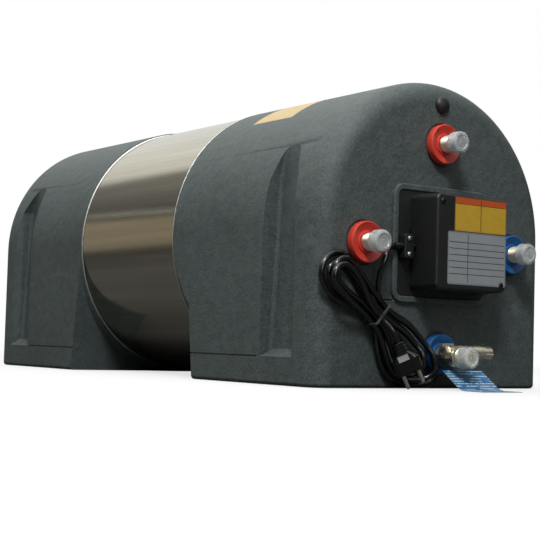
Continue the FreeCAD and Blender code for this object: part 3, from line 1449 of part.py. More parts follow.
def cord_tie():
    """A thin strap round the hank's waist."""
    along, side = hank_axes()
    first, last, top = waist_place(0, 0), waist_place(3, 1), waist_place(1.5, 2)
    centre = (first + last) * 0.5
    centre.y = (first.y + top.y) / 2.0
    half_across = (first - last).dot(side) / 2.0 + CORD_RADIUS + FIT_GAP
    half_deep = (first.y - top.y) / 2.0 + CORD_RADIUS + FIT_GAP

    def outline(grow):
        points = []
        for a, d in ((1, 1), (-1, 1), (-1, -1), (1, -1)):
            offset = side * (a * (half_across + grow)) + Vector(0, d * (half_deep + grow), 0)
            points.append(centre - along * (TIE_WIDTH / 2.0) + offset)
        bar = Part.Face(Part.makePolygon(points + [points[0]])).extrude(along * TIE_WIDTH)
        sides = [e for e in bar.Edges if abs(e.Length - TIE_WIDTH) < 0.01]
        return bar.makeFillet(CORD_RADIUS + grow, sides)

    return outline(TIE_THICKNESS).cut(outline(0.0))


def plug_frame():
    """The plug's face centre, its axis towards the pins' tips, the pins' row and its thin way."""
    axis = unit(Vector(*PLUG_AXIS))
    row = Vector(*PLUG_ROW)
    row = unit(row - axis * row.dot(axis))
    return cord_point(PLUG_FACE), axis, row, axis.cross(row)


def plug_ring(centre, row, thin, half_width, half_depth):
    """A rounded outline across the plug: two half circles and two straights."""
    straight = half_width - half_depth
    p = [
        centre + row * straight + thin * half_depth,
        centre + row * half_width,
        centre + row * straight - thin * half_depth,
        centre - row * straight - thin * half_depth,
        centre - row * half_width,
        centre - row * straight + thin * half_depth,
    ]
    return Part.Wire(
        [
            Part.Arc(p[0], p[1], p[2]).toShape(),
            Part.LineSegment(p[2], p[3]).toShape(),
            Part.Arc(p[3], p[4], p[5]).toShape(),
            Part.LineSegment(p[5], p[0]).toShape(),
        ]
    )


def plug_body():
    """The moulded two-pin plug: a flat body and a tapered tail."""
    face, axis, row, thin = plug_frame()
    back = face - axis * PLUG_BODY_LENGTH
    tail = back - axis * PLUG_TAIL_LENGTH
    rings = [
        plug_ring(face, row, thin, PLUG_WIDTH / 2.0, PLUG_DEPTH / 2.0),
        plug_ring(back, row, thin, PLUG_WIDTH / 2.0, PLUG_DEPTH / 2.0),
        plug_ring(back - axis * (PLUG_TAIL_LENGTH * 0.4), row, thin, PLUG_WIDTH / 2.0 - 6.0, PLUG_DEPTH / 2.0 - 1.5),
        plug_ring(tail, row, thin, PLUG_TAIL_RADIUS + 0.5, PLUG_TAIL_RADIUS),
    ]
    return Part.makeLoft(rings, True, True)


def plug_pins():
    """The two round pins."""
    face, axis, row, thin = plug_frame()
    pins = []
    for side in (-1, 1):
        start = face + row * (side * PIN_SPACING / 2.0)
        pin = Part.makeCylinder(PIN_RADIUS, PIN_LENGTH, start, axis)
        tip = start + axis * PIN_LENGTH
        rim = edges_near(pin, lambda m: abs((m - tip).dot(axis)) < 0.01)
        pins.append(pin.makeFillet(1.2, rim))
    return Part.makeCompound(pins)


def paper_tag():
    """The paper tag: it hangs from the valve, meets the floor and lies on it."""
    top = Vector(TAG_LEFT, FRONT_Y + TAG_TOP_Y, TAG_TOP_Z)
    fold = Vector(TAG_LEFT, FRONT_Y + TAG_FLOOR_Y, TAG_THICKNESS)
    end = Vector(TAG_LEFT, FRONT_Y + TAG_END_Y, TAG_THICKNESS)
    down, along = unit(fold - top), unit(end - fold)
    start, finish = fold - down * TAG_BEND, fold + along * TAG_BEND
    half = down.getAngle(along) / 2.0
    radius = TAG_BEND / math.tan(half)
    centre = fold + unit(along - down) * math.hypot(radius, TAG_BEND)

    def strip(offset):
        normal_down = Vector(0, down.z, -down.y)
        if normal_down.z < 0:
            normal_down = normal_down * -1.0
        lift = Vector(0, 0, 1) * offset
        arc_radius = radius - offset
        arc_middle = centre + unit(fold - centre) * arc_radius
        return (
            top + normal_down * offset,
            start + normal_down * offset,
            arc_middle,
            finish + lift,
            end + lift,
        )

    lower = strip(-TAG_THICKNESS)
    higher = strip(0.0)
    edges = [
        Part.LineSegment(lower[0], lower[1]).toShape(),
        Part.Arc(lower[1], lower[2], lower[3]).toShape(),
        Part.LineSegment(lower[3], lower[4]).toShape(),
        Part.LineSegment(lower[4], higher[4]).toShape(),
        Part.LineSegment(higher[4], higher[3]).toShape(),
        Part.Arc(higher[3], higher[2], higher[1]).toShape(),
        Part.LineSegment(higher[1], higher[0]).toShape(),
        Part.LineSegment(higher[0], lower[0]).toShape(),
    ]
    return Part.Face(Part.Wire(edges)).extrude(Vector(TAG_WIDTH, 0, 0))


def tag_tie():
    """The thread loop round the valve's barrel, down to the tag."""
    out = -TAG_TOP_Y
    ring_radius = VALVE_BARREL_RADIUS + TAG_TIE_RADIUS + TOUCH_GAP
    ring = Part.makeTorus(ring_radius, TAG_TIE_RADIUS, panel(0.0, TAG_TIE_OUT, VALVE_Z), Vector(0, 1, 0))
    top = panel(0.0, TAG_TIE_OUT, VALVE_Z - ring_radius)
    low = panel(0.0, out, TAG_TOP_Z + TAG_TIE_RADIUS + TOUCH_GAP)
    drop = Part.makeCylinder(TAG_TIE_RADIUS, (low - top).Length, top, low - top)
    return one_solid(ring.fuse(drop))


def nodes():
    """Every sub-part by the name of its file."""
    made = {
        "front_shell": front_shell(),
        "rear_shell": rear_shell(),
        "steel_jacket": steel_jacket(),
        "front_seam_ring": front_seam_ring(),
        "rear_seam_ring": rear_seam_ring(),
        "foam_core": foam_core(),
        "tank_shell": tank_shell(),
        "tank_front_head": tank_front_head(),
        "tank_rear_head": tank_rear_head(),
        "heater_gasket": heater_gasket(),
        "heater_flange": heater_flange(),
        "heater_bolts": heater_bolts(),
        "heating_element": heating_element(),
        "thermowell": thermowell(),
        "anode_rod": anode_rod(),
        "engine_coil": engine_coil(),
        "dip_pipe": dip_pipe(),
        "hot_pickup": hot_pickup(),
        "blank_plug": blank_plug(),
        "foot_inserts": foot_inserts(),
        "box_tray": box_tray(),
        "box_cover": box_cover(),
        "cover_screws": cover_screws(),
        "thermostat_body": thermostat_body(),
        "thermostat_dial": thermostat_dial(),
        "reset_button": reset_button(),
        "terminal_block": terminal_block(),
        "clamp_bar": clamp_bar(),
        "clamp_screws": clamp_screws(),
        "strain_relief": strain_relief(),
        "valve_body": valve_body(),
        "valve_bonnet": valve_bonnet(),
        "relief_stem": relief_stem(),
        "relief_spring": relief_spring(),
        "valve_knob": valve_knob(),
        "check_disc": check_disc(),
        "check_spring": check_spring(),
        "valve_cap": cap(0.0, VALVE_Z, VALVE_CAP_START, VALVE_CAP_END, VALVE_INLET_END),
        "power_lead": power_lead(),
        "cord_hank": cord_hank(),
        "cord_tie": cord_tie(),
        "plug_body": plug_body(),
        "plug_pins": plug_pins(),
        "paper_tag": paper_tag(),
        "tag_tie": tag_tie(),
    }
    for name, (x, z) in FITTINGS.items():
        reach = VALVE_STUB_REACH if name == "cold" else STUB_REACH
        made[name + "_stub"] = stub(x, z, reach, STUB_INNER_DEPTH)
        made[name + "_collar"] = collar(x, z)
        if name != "cold":
            made[name + "_cap"] = cap(x, z, CAP_START, CAP_END, STUB_REACH)
    return made


def main():
    os.makedirs("parts", exist_ok=True)
    for name, shape in nodes().items():
        if not shape.isValid():
            print("not valid:", name)
        shape.exportStep("parts/" + name + ".step")
        box = shape.BoundBox
        print(name, len(shape.Solids), round(shape.Volume), [round(v, 1) for v in (
            box.XMin, box.XMax, box.YMin, box.YMax, box.ZMin, box.ZMax)])


main()
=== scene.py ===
"""A horizontal storage water heater: its visible pieces, dressed over the fixed frame of its solids."""

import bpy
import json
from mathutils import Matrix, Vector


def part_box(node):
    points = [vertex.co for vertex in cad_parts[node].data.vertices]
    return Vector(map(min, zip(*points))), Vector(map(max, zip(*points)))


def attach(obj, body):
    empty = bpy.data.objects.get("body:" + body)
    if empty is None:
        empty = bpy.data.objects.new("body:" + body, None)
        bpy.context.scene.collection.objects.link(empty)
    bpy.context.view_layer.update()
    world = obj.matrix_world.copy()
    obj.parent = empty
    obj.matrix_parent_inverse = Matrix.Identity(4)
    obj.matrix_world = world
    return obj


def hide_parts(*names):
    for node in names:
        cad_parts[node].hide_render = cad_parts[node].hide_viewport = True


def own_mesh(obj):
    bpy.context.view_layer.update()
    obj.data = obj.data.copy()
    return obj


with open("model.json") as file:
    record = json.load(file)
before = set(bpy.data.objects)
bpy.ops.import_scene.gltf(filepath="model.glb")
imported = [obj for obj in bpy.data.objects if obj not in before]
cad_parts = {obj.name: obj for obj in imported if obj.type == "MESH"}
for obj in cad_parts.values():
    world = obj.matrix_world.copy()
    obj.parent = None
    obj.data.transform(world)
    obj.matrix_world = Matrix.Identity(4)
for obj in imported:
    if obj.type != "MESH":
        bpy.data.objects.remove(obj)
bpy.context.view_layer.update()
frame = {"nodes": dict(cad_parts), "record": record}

import json
import math

import bpy
from bpy.props import FloatProperty, FloatVectorProperty, IntProperty, PointerProperty
from mathutils import Matrix, Vector

bl_info = {
    "name": "Storage Water Heater",
    "version": (1, 0, 0),
    "blender": (4, 5, 0),
    "location": "View3D > Sidebar > Heater",
    "description": "Builds the shells, jacket, fittings, electric box, valve and cord of a water heater",
    "category": "Add Mesh",
}

MM = 0.001

# The face of the end panel along Y, and the height of the jacket's axis, in metres
FRONT = -0.430
AXIS_Z = 0.191
OUTWARD = Vector((0.0, -1.0, 0.0))


def srgb(red, green, blue):
    """A colour given as it looks on screen, 0 to 255, as the linear numbers that a shader takes."""
    def straight(value):
        value /= 255.0
        return value / 12.92 if value <= 0.04045 else ((value + 0.055) / 1.055) ** 2.4

    return (straight(red), straight(green), straight(blue))


def on_panel(x, out, z):
    """A point in front of the end panel, from millimetres."""
    return Vector((x * MM, FRONT - out * MM, z * MM))


# The sizes and colours that a user would change

COLOUR = {"subtype": "COLOR", "size": 3, "min": 0.0, "max": 1.0}
SHARE = {"subtype": "FACTOR", "min": 0.0, "max": 1.0}


class ShellSettings(bpy.types.PropertyGroup):
    colour: FloatVectorProperty(
        name="Shell colour", description="Colour of the moulded shells", default=srgb(78, 88, 87), **COLOUR
    )
    grain: FloatProperty(
        name="Grain", description="Size of the moulded grain", unit="LENGTH", default=0.0011, min=0.0002,
        max=0.01,
    )
    mottle: FloatProperty(name="Mottle", description="How much the colour varies", default=0.4, **SHARE)


class JacketSettings(bpy.types.PropertyGroup):
    radius: FloatProperty(
        name="Jacket radius", description="Outside radius of the steel jacket", default=0.1866, unit="LENGTH"
    )
    colour: FloatVectorProperty(
        name="Steel colour", description="Colour of the brushed steel", default=srgb(186, 180, 164), **COLOUR
    )
    roughness: FloatProperty(
        name="Steel roughness", description="Mean roughness of the steel", default=0.12, **SHARE
    )


class FittingSettings(bpy.types.PropertyGroup):
    hot_colour: FloatVectorProperty(
        name="Hot colour", description="Colour of the hot collars", default=srgb(224, 68, 54), **COLOUR
    )
    cold_colour: FloatVectorProperty(
        name="Cold colour", description="Colour of the cold collars", default=srgb(28, 98, 168), **COLOUR
    )
    thread_pitch: FloatProperty(
        name="Thread pitch", description="Pitch of the stubs' threads", default=0.001814, unit="LENGTH"
    )


class BoxSettings(bpy.types.PropertyGroup):
    colour: FloatVectorProperty(
        name="Box colour", description="Colour of the electric box", default=srgb(25, 28, 27), **COLOUR
    )
    sticker_colour: FloatVectorProperty(
        name="Sticker colour", description="Colour of the blank notice", default=srgb(214, 172, 56), **COLOUR
    )
    header_colour: FloatVectorProperty(
        name="Header colour", description="Colour of the notice's header", default=srgb(206, 92, 40), **COLOUR
    )


class CordSettings(bpy.types.PropertyGroup):
    diameter: FloatProperty(
        name="Cord diameter", description="Diameter of the mains cord", default=0.007, unit="LENGTH"
    )
    turns: IntProperty(name="Hank turns", description="Turns in the tied hank", default=4, min=1, max=4)


class StageSettings(bpy.types.PropertyGroup):
    floor_colour: FloatVectorProperty(
        name="Floor colour", description="Colour of the floor", default=(0.80, 0.80, 0.80), **COLOUR
    )
    key_power: FloatProperty(
        name="Key light", description="Strength of the soft light overhead", default=36.0, min=0.0
    )
    fill_power: FloatProperty(
        name="Fill light", description="Strength of the soft light in front", default=24.0, min=0.0
    )
    card_power: FloatProperty(
        name="Card", description="Strength of the card that only shiny pieces mirror", default=5.0, min=0.0
    )
    room: FloatProperty(name="Room", description="Strength of the light from above", default=0.62, min=0.0)
    window: FloatProperty(
        name="Window", description="Strength of the bright end of the room", default=0.74, min=0.0
    )
    lens: FloatProperty(name="Lens", description="Focal length in millimetres", default=85.699, min=1.0)


# Shader maths


class Value:
    """Something that changes over a surface: a socket whose arithmetic adds Math nodes."""

    def __init__(self, paint, socket):
        self.paint = paint
        self.socket = socket

    def math(self, operation, *others):
        return self.paint.node("ShaderNodeMath", {"operation": operation}, (self, *others))

    def __add__(self, other):
        return self.math("ADD", other)

    __radd__ = __add__

    def __sub__(self, other):
        return self.math("SUBTRACT", other)

    def __rsub__(self, other):
        return self.paint.node("ShaderNodeMath", {"operation": "SUBTRACT"}, (other, self))

    def __mul__(self, other):
        return self.math("MULTIPLY", other)

    __rmul__ = __mul__

    def ramp(self, low, high):
        """From 0 at low to 1 at high, smoothly, and flat beyond."""
        settings = {"interpolation_type": "SMOOTHSTEP"}
        sockets = {"Value": self, "From Min": low, "From Max": high}
        return self.paint.node("ShaderNodeMapRange", settings, sockets)

    def near(self, middle, reach):
        """1 less than reach away from middle, and 0 elsewhere."""
        return (self - middle).math("ABSOLUTE").math("LESS_THAN", reach)


class Nodes:
    """A node tree, with short ways to add what varies."""

    def __init__(self, tree):
        self.tree = tree
        self.places = {}

    def node(self, kind, settings=None, sockets=(), output=0):
        """Any node: its settings first, then the values or links of its sockets."""
        made = self.tree.nodes.new(kind)
        for key, value in (settings or {}).items():
            setattr(made, key, value)
        pairs = sockets.items() if isinstance(sockets, dict) else enumerate(sockets)
        for key, value in pairs:
            if isinstance(value, Value):
                self.tree.links.new(value.socket, made.inputs[key])
            else:
                made.inputs[key].default_value = value
        return None if output is None else Value(self, made.outputs[output])

    def place(self, kind="Object"):
        if kind not in self.places:
            self.places[kind] = self.node("ShaderNodeTexCoord", output=kind)
        return self.places[kind]

    def parts(self, kind="Object"):
        where = self.place(kind)
        return [self.node("ShaderNodeSeparateXYZ", None, (where,), i) for i in range(3)]

    def at(self, x, y, z=0.0):
        return self.node("ShaderNodeCombineXYZ", None, (x, y, z))

    def noise(self, scale, detail=3.0, where=None, stretch=None):
        where = where or self.place()
        if stretch:
            where = self.node("ShaderNodeVectorMath", {"operation": "MULTIPLY"}, (where, stretch))
        sockets = {"Vector": where, "Scale": scale, "Detail": detail, "Roughness": 0.6}
        return self.node("ShaderNodeTexNoise", {"noise_dimensions": "3D"}, sockets)

    def mix(self, factor, first, second):
        def colour(value):
            return value if isinstance(value, Value) else (*value[:3], 1.0)

        sockets = {0: factor, 6: colour(first), 7: colour(second)}
        return self.node("ShaderNodeMix", {"data_type": "RGBA"}, sockets, 2)

    def bump(self, height, distance):
        return self.node("ShaderNodeBump", None, {"Strength": 1.0, "Distance": distance, "Height": height})

    def seen(self):
        """1 for what the camera sees, straight or through clear plastic, and 0 for all other light."""
        straight = self.node("ShaderNodeLightPath", output="Is Camera Ray")
        return straight.math("MAXIMUM", self.node("ShaderNodeLightPath", output="Is Transmission Ray"))


class Paint(Nodes):
    """A material and its principled shader."""

    def __init__(self, name, **constants):
        self.material = bpy.data.materials.new(name)
        self.material.use_nodes = True
        super().__init__(self.material.node_tree)
        self.shader = self.tree.nodes["Principled BSDF"]
        for key, value in constants.items():
            self.shader.inputs[key.replace("_", " ")].default_value = value

    def feed(self, **links):
        for key, value in links.items():
            self.tree.links.new(value.socket, self.shader.inputs[key.replace("_", " ")])
        return self.material


def shade(colour, factor):
    return tuple(min(1.0, c * factor) for c in colour[:3])


def varied(paint, tone, colour, reach):
    """A colour that the tone takes from darker to paler."""
    return paint.mix(tone, shade(colour, 1.0 - reach), shade(colour, 1.0 + reach))


def moulded(name, colour, rough, mottle, grain, depth):
    """A moulded plastic: faint clouds of colour, fine grain and a grain that catches the light."""
    paint = Paint(name)
    clouds = paint.noise(7.0, 4.0).ramp(0.3, 0.7)
    specks = paint.noise(1.0 / (3.0 * grain), 3.0).ramp(0.32, 0.68)
    fine = paint.noise(1.0 / grain, 2.0)
    return paint.feed(
        Base_Color=varied(paint, clouds * 0.45 + specks * 0.55, colour, mottle),
        Roughness=specks * 0.1 + clouds * 0.06 + (rough - 0.08),
        Normal=paint.bump(fine + specks * 0.6, depth),
    )


def shell_plastic(settings):
    """The moulded shell: matt dark grey with coarse mottling, paler rubbed places and a fine orange peel."""
    paint = Paint("moulded_shell", Specular_IOR_Level=0.42)
    clouds = paint.noise(5.0, 5.0).ramp(0.3, 0.72)
    blotch = paint.noise(70.0, 4.0).ramp(0.3, 0.7)
    specks = paint.noise(1.0 / (2.2 * settings.grain), 3.0).ramp(0.35, 0.66)
    peel = paint.noise(1.0 / settings.grain, 2.0)
    scuff = paint.noise(26.0, 6.0, stretch=(1.0, 0.25, 1.0)).ramp(0.64, 0.8)
    tone = clouds * 0.25 + blotch * 0.25 + specks * 0.5
    body = varied(paint, tone, tuple(settings.colour), settings.mottle)
    return paint.feed(
        Base_Color=paint.mix(scuff * 0.22, body, srgb(126, 134, 132)),
        Roughness=clouds * 0.08 + specks * 0.1 + 0.5 - scuff * 0.06,
        Normal=paint.bump(peel + blotch * 1.6 + specks * 0.5, 0.00022),
    )


def jacket_steel(settings):
    """Brushed stainless steel: fine lines along the jacket, soft painted reflection streaks round it and a
    few handling marks.
    """
    colour = tuple(settings.colour)
    paint = Paint("brushed_jacket", Metallic=1.0)
    x, y, z = paint.parts()
    around = paint.node("ShaderNodeMath", {"operation": "ARCTAN2"}, (x, z - AXIS_Z)) * settings.radius
    lines = paint.noise(1.0, 3.0, where=paint.at(around * 1500.0, y * 9.0))
    # Broad streaks along the axis, spaced round the jacket: painted reflection in the steel's colour, which
    # also vary its roughness
    reflection_bands = paint.noise(1.0, 2.0, where=paint.at(around * 60.0, y * 1.4))
    marks = paint.noise(34.0, 6.0).ramp(0.6, 0.78)
    # The steel's colour, paler and darker along the painted reflection streaks
    warm = paint.mix(reflection_bands.ramp(0.3, 0.7), shade(colour, 0.86), shade(colour, 1.06))
    body = paint.mix(lines.ramp(0.3, 0.7) * 0.35, warm, shade(colour, 0.7))
    return paint.feed(
        Base_Color=paint.mix(marks * 0.12, body, srgb(120, 104, 86)),
        Roughness=lines * 0.07 + reflection_bands * 0.05 + marks * 0.06 + (settings.roughness - 0.06),
        Normal=paint.bump(lines, 0.00003),
    )


def metal(name, colour, rough, wear, scale):
    """A plain metal: small changes of tone, with duller spots."""
    paint = Paint(name, Metallic=1.0)
    tone = paint.noise(scale, 4.0).ramp(0.3, 0.7)
    dull = paint.noise(scale * 4.0, 3.0).ramp(0.5, 0.75)
    body = paint.mix(tone, shade(colour, 1.0 - wear), shade(colour, 1.0 + wear * 0.4))
    return paint.feed(
        Base_Color=paint.mix(dull * 0.25, body, shade(colour, 0.55)),
        Roughness=tone * 0.12 + dull * 0.15 + (rough - 0.1),
        Normal=paint.bump(dull, 0.00002),
    )


def milky_plastic():
    """The push-on caps: cloudy clear polythene, so the thread shows through."""
    paint = Paint("milky_cap", Transmission_Weight=0.58, IOR=1.45, Specular_IOR_Level=0.6)
    clouds = paint.noise(110.0, 3.0).ramp(0.3, 0.7)
    swirl = paint.noise(420.0, 3.0).ramp(0.4, 0.65)
    return paint.feed(
        Base_Color=paint.mix(clouds * 0.6 + swirl * 0.4, srgb(196, 202, 204), srgb(252, 253, 252)),
        Roughness=swirl * 0.08 + clouds * 0.06 + 0.12,
        Normal=paint.bump(clouds + swirl * 0.5, 0.0001),
    )


def tie_film():
    """The clear strap round the hank."""
    paint = Paint("tie_film", Transmission_Weight=0.6, IOR=1.45)
    crease = paint.noise(90.0, 2.0).ramp(0.3, 0.7)
    return paint.feed(
        Base_Color=paint.mix(crease, srgb(84, 88, 90), srgb(132, 136, 138)),
        Roughness=crease * 0.15 + 0.15,
        Normal=paint.bump(crease, 0.00003),
    )


def cord_plastic():
    """Glossy black cable sheath, faintly dusty."""
    paint = Paint("cord_sheath", Specular_IOR_Level=0.5, Coat_Roughness=0.06)
    dust = paint.noise(220.0, 5.0).ramp(0.5, 0.85)
    ripple = paint.noise(70.0, 2.0)
    return paint.feed(
        Base_Color=paint.mix(dust, srgb(6, 6, 8), srgb(13, 14, 16)),
        Roughness=dust * 0.16 + 0.22,
        Coat_Weight=0.5 - dust * 0.3,
        Normal=paint.bump(ripple, 0.0002),
    )


def foam():
    """Expanded foam: pale yellow with small cells."""
    paint = Paint("moulded_foam")
    cells = paint.node("ShaderNodeTexVoronoi", None, {"Vector": paint.place(), "Scale": 700.0})
    clouds = paint.noise(18.0, 4.0)
    return paint.feed(
        Base_Color=paint.mix(clouds, srgb(206, 184, 122), srgb(232, 214, 160)),
        Roughness=clouds * 0.1 + 0.85,
        Normal=paint.bump(cells, 0.0004),
    )


def printed_sheet(name, ground, line, rows=(), columns=(), header=None, rough=0.4):
    """A printed blank on the piece's own UV map: a frame, a header band, ruled rows and columns, no words."""
    paint = Paint(name)
    u, v = paint.parts("UV")[:2]
    flat = paint.noise(5.0, 3.0, where=paint.place("UV"))
    body = paint.mix(flat.ramp(0.3, 0.7), shade(ground, 0.94), shade(ground, 1.03))
    if header:
        body = paint.mix(v.ramp(0.795, 0.8), body, header)
    inside = u.near(0.5, 0.475) * v.near(0.5, 0.455)
    for mark in [v.near(row, 0.008) for row in rows] + [u.near(column, 0.006) for column in columns]:
        body = paint.mix(mark * inside, body, line)
    border = 1.0 - u.near(0.5, 0.484) * v.near(0.5, 0.472)
    scuff = paint.noise(40.0, 4.0).ramp(0.55, 0.8)
    return paint.feed(
        Base_Color=paint.mix(border * 0.35, body, line),
        Roughness=scuff * 0.2 + rough,
        Normal=paint.bump(scuff, 0.00004),
    )


# From one printed bar of the paper tag to the next, in metres
TAG_LINE = 0.003


def tag_paper():
    """Blue printed paper with broken white bars in rows, creased where it folds."""
    paint = Paint("tag_paper")
    x, y, z = paint.parts()
    run = (y - z * 0.35) * (1.0 / TAG_LINE)
    across, row = run.math("FRACT"), run.math("FLOOR")
    bar = across.ramp(0.5, 0.56) * (1.0 - across.ramp(0.86, 0.92))
    length = paint.noise(1.0, 0.0, where=paint.at(x * 40.0, row * 3.7)).ramp(0.4, 0.46)
    broken = paint.noise(1.0, 1.0, where=paint.at(x * 420.0, row * 5.3)).ramp(0.36, 0.44)
    fibre = paint.noise(600.0, 4.0)
    crease = paint.noise(60.0, 3.0)
    body = paint.mix(crease.ramp(0.35, 0.7), srgb(34, 98, 148), srgb(62, 132, 178))
    return paint.feed(
        Base_Color=paint.mix(bar * length * broken * 0.85, body, srgb(214, 226, 232)),
        Roughness=fibre * 0.15 + 0.55,
        Normal=paint.bump(fibre * 0.3 + crease * 2.0, 0.0006),
    )


# Plain metals by slot: the material's name, colour, roughness, wear and the scale of its spots
METALS = {
    "seam_metal": ("seam_bead", srgb(238, 238, 234), 0.5, 0.06, 160.0),
    "tank_steel": ("tank_plate", srgb(178, 178, 174), 0.4, 0.2, 40.0),
    "screw_steel": ("plated_screw", srgb(196, 198, 196), 0.27, 0.2, 400.0),
    "dark_screw": ("blackened_screw", srgb(64, 66, 66), 0.4, 0.2, 400.0),
    "element_sheath": ("element_sheath", srgb(128, 118, 106), 0.42, 0.3, 90.0),
    "anode_metal": ("anode_cast", srgb(172, 176, 180), 0.5, 0.25, 120.0),
    "pin_metal": ("plug_pin", srgb(240, 234, 216), 0.42, 0.08, 300.0),
    "nickel_brass": ("nickel_brass", srgb(244, 238, 218), 0.38, 0.08, 60.0),
    "spring_steel": ("spring_wire", srgb(150, 152, 154), 0.3, 0.2, 600.0),
}

# Moulded plastics by slot: the material's name, colour, roughness, mottle, size of the grain and its depth
PLASTICS = {
    "gasket_rubber": ("gasket_rubber", srgb(30, 30, 30), 0.7, 0.2, 0.0008, 0.00012),
    "dial_plastic": ("dial_plastic", srgb(206, 204, 196), 0.45, 0.06, 0.001, 0.00005),
    "reset_plastic": ("reset_plastic", srgb(188, 40, 34), 0.4, 0.08, 0.001, 0.00005),
    "thread_tie": ("thread_tie", srgb(150, 147, 138), 0.5, 0.15, 0.0006, 0.00008),
}
COLLAR_GRAIN = (0.42, 0.1, 0.0014, 0.00008)
BOX_GRAIN = (0.46, 0.18, 0.0009, 0.0001)
FINISHES = {}


def made_finish(slot, scene):
    if slot in METALS:
        return metal(*METALS[slot])
    if slot in PLASTICS:
        return moulded(*PLASTICS[slot])
    fittings = scene.heater_fittings
    makers = {
        "shell_plastic": lambda: shell_plastic(scene.heater_shell),
        "jacket_steel": lambda: jacket_steel(scene.heater_jacket),
        "red_plastic": lambda: moulded("hot_collar_plastic", fittings.hot_colour, *COLLAR_GRAIN),
        "blue_plastic": lambda: moulded("cold_collar_plastic", fittings.cold_colour, *COLLAR_GRAIN),
        "black_plastic": lambda: moulded("box_plastic", scene.heater_box.colour, *BOX_GRAIN),
        "milky_plastic": milky_plastic,
        "cord_pvc": cord_plastic,
        "tie_film": tie_film,
        "foam": foam,
        "tag_paper": tag_paper,
    }
    return makers[slot]()


def finish(slot):
    """A finish by its slot's name, made when it is first asked for."""
    if slot not in FINISHES:
        FINISHES[slot] = made_finish(slot, bpy.context.scene)
    return FINISHES[slot]


# Modelling


def mode(name):
    bpy.ops.object.mode_set(mode=name)


def deselect():
    if bpy.context.object and bpy.context.object.mode != "OBJECT":
        mode("OBJECT")
    bpy.ops.object.select_all(action="DESELECT")


def use(piece):
    deselect()
    piece.select_set(True)
    bpy.context.view_layer.objects.active = piece


def settle(piece):
    """Put a piece's place, turn and size into its mesh."""
    use(piece)
    bpy.ops.object.transform_apply(location=True, rotation=True, scale=True)


def select_where(piece, kind, test):
    """Enter edit mode with only those vertices, edges or faces selected that pass a test."""
    use(piece)
    mode("EDIT")
    bpy.ops.mesh.select_mode(type=kind)
    bpy.ops.mesh.select_all(action="DESELECT")
    mode("OBJECT")
    mesh = piece.data
    for item in {"VERT": mesh.vertices, "EDGE": mesh.edges, "FACE": mesh.polygons}[kind]:
        item.select = test(item)
    mode("EDIT")


def select_all(piece):
    """Enter edit mode with the whole piece selected."""
    use(piece)
    mode("EDIT")
    bpy.ops.mesh.select_all(action="SELECT")


def tidy_mesh(piece):
    """Merge doubled points and turn the faces outwards."""
    select_all(piece)
    bpy.ops.mesh.remove_doubles(threshold=1e-6)
    bpy.ops.mesh.normals_make_consistent(inside=False)
    mode("OBJECT")


def modify(piece, kind, **settings):
    """Add a modifier, set it and apply it."""
    use(piece)
    modifier = piece.modifiers.new(kind.lower(), kind)
    for key, value in settings.items():
        setattr(modifier, key, value)
    bpy.ops.object.modifier_apply(modifier=modifier.name)


def round_edges(piece, width, angle, segments):
    modify(
        piece, "BEVEL", width=width * MM, segments=segments, limit_method="ANGLE",
        angle_limit=math.radians(angle), use_clamp_overlap=True, harden_normals=False,
    )


def smooth(piece, angle=35.0):
    use(piece)
    bpy.ops.object.shade_smooth_by_angle(angle=math.radians(angle))
    modify(piece, "WEIGHTED_NORMAL", keep_sharp=True, weight=60)


def place_piece(piece, slot, body, *nodes, look=None):
    """Give a finished piece its finish and its body, and hide the solids that it stands for."""
    piece.data.materials.clear()
    piece.data.materials.append(look or finish(slot))
    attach(piece, body)
    if nodes:
        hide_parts(*nodes)
    return piece


def turned(name, profile, base, direction=OUTWARD, sides=72, bored=False):
    """A turned piece: a circle extruded and resized ring by ring along a profile in millimetres."""
    deselect()
    axis = Vector(direction).normalized()
    base = Vector(base)
    out, radius = profile[0]
    bpy.ops.mesh.primitive_circle_add(
        vertices=sides, radius=radius * MM, fill_type="NOTHING" if bored else "NGON",
        location=base + axis * (out * MM), rotation=axis.to_track_quat("Z", "Y").to_euler(),
    )
    piece = bpy.context.object
    piece.name = name
    mode("EDIT")
    bpy.ops.mesh.select_all(action="SELECT")
    for (here, wide), (there, next_wide) in zip(profile, profile[1:]):
        step = axis * ((there - here) * MM)
        bpy.ops.mesh.extrude_region_move(TRANSFORM_OT_translate={"value": step})
        factor = next_wide / wide
        if abs(factor - 1.0) > 1e-6:
            centre = base + axis * (there * MM)
            bpy.ops.transform.resize(value=(factor, factor, factor), center_override=centre)
    mode("OBJECT")
    settle(piece)
    tidy_mesh(piece)
    return piece


def dressed(node, name, slot, angle, bevel=0.0, body="heater", rim=None):
    """A merged copy of a solid whose shape is right, with its flat faces joined and its edges eased.

    A rim is a test on a place: the edges whose two ends pass it get a wider rounding first."""
    piece = bpy.data.objects.new(name, frame["nodes"][node].data.copy())
    bpy.context.scene.collection.objects.link(piece)
    select_all(piece)
    bpy.ops.mesh.remove_doubles(threshold=2e-6)
    bpy.ops.mesh.dissolve_limited(angle_limit=math.radians(0.4))
    mode("OBJECT")
    if rim:
        ends = [rim(v.co) for v in piece.data.vertices]
        select_where(piece, "EDGE", lambda edge: all(ends[i] for i in edge.vertices))
        bpy.ops.mesh.bevel(offset=SEAM_ROUNDING * MM, segments=3, affect="EDGES", clamp_overlap=True)
        mode("OBJECT")
    if bevel:
        round_edges(piece, bevel, max(angle, 40.0), 2)
    smooth(piece, angle)
    return place_piece(piece, slot, body, node)


def spread(pattern, start, places):
    """Copy a pattern piece, made at start, to each named place, and take the pattern away."""
    twins = []
    for name, place in places:
        use(pattern)
        bpy.ops.object.duplicate(linked=False)
        twin = bpy.context.object
        twin.name = name
        bpy.ops.transform.translate(value=place - start)
        settle(twin)
        twins.append(twin)
    bpy.data.objects.remove(pattern, do_unlink=True)
    return twins


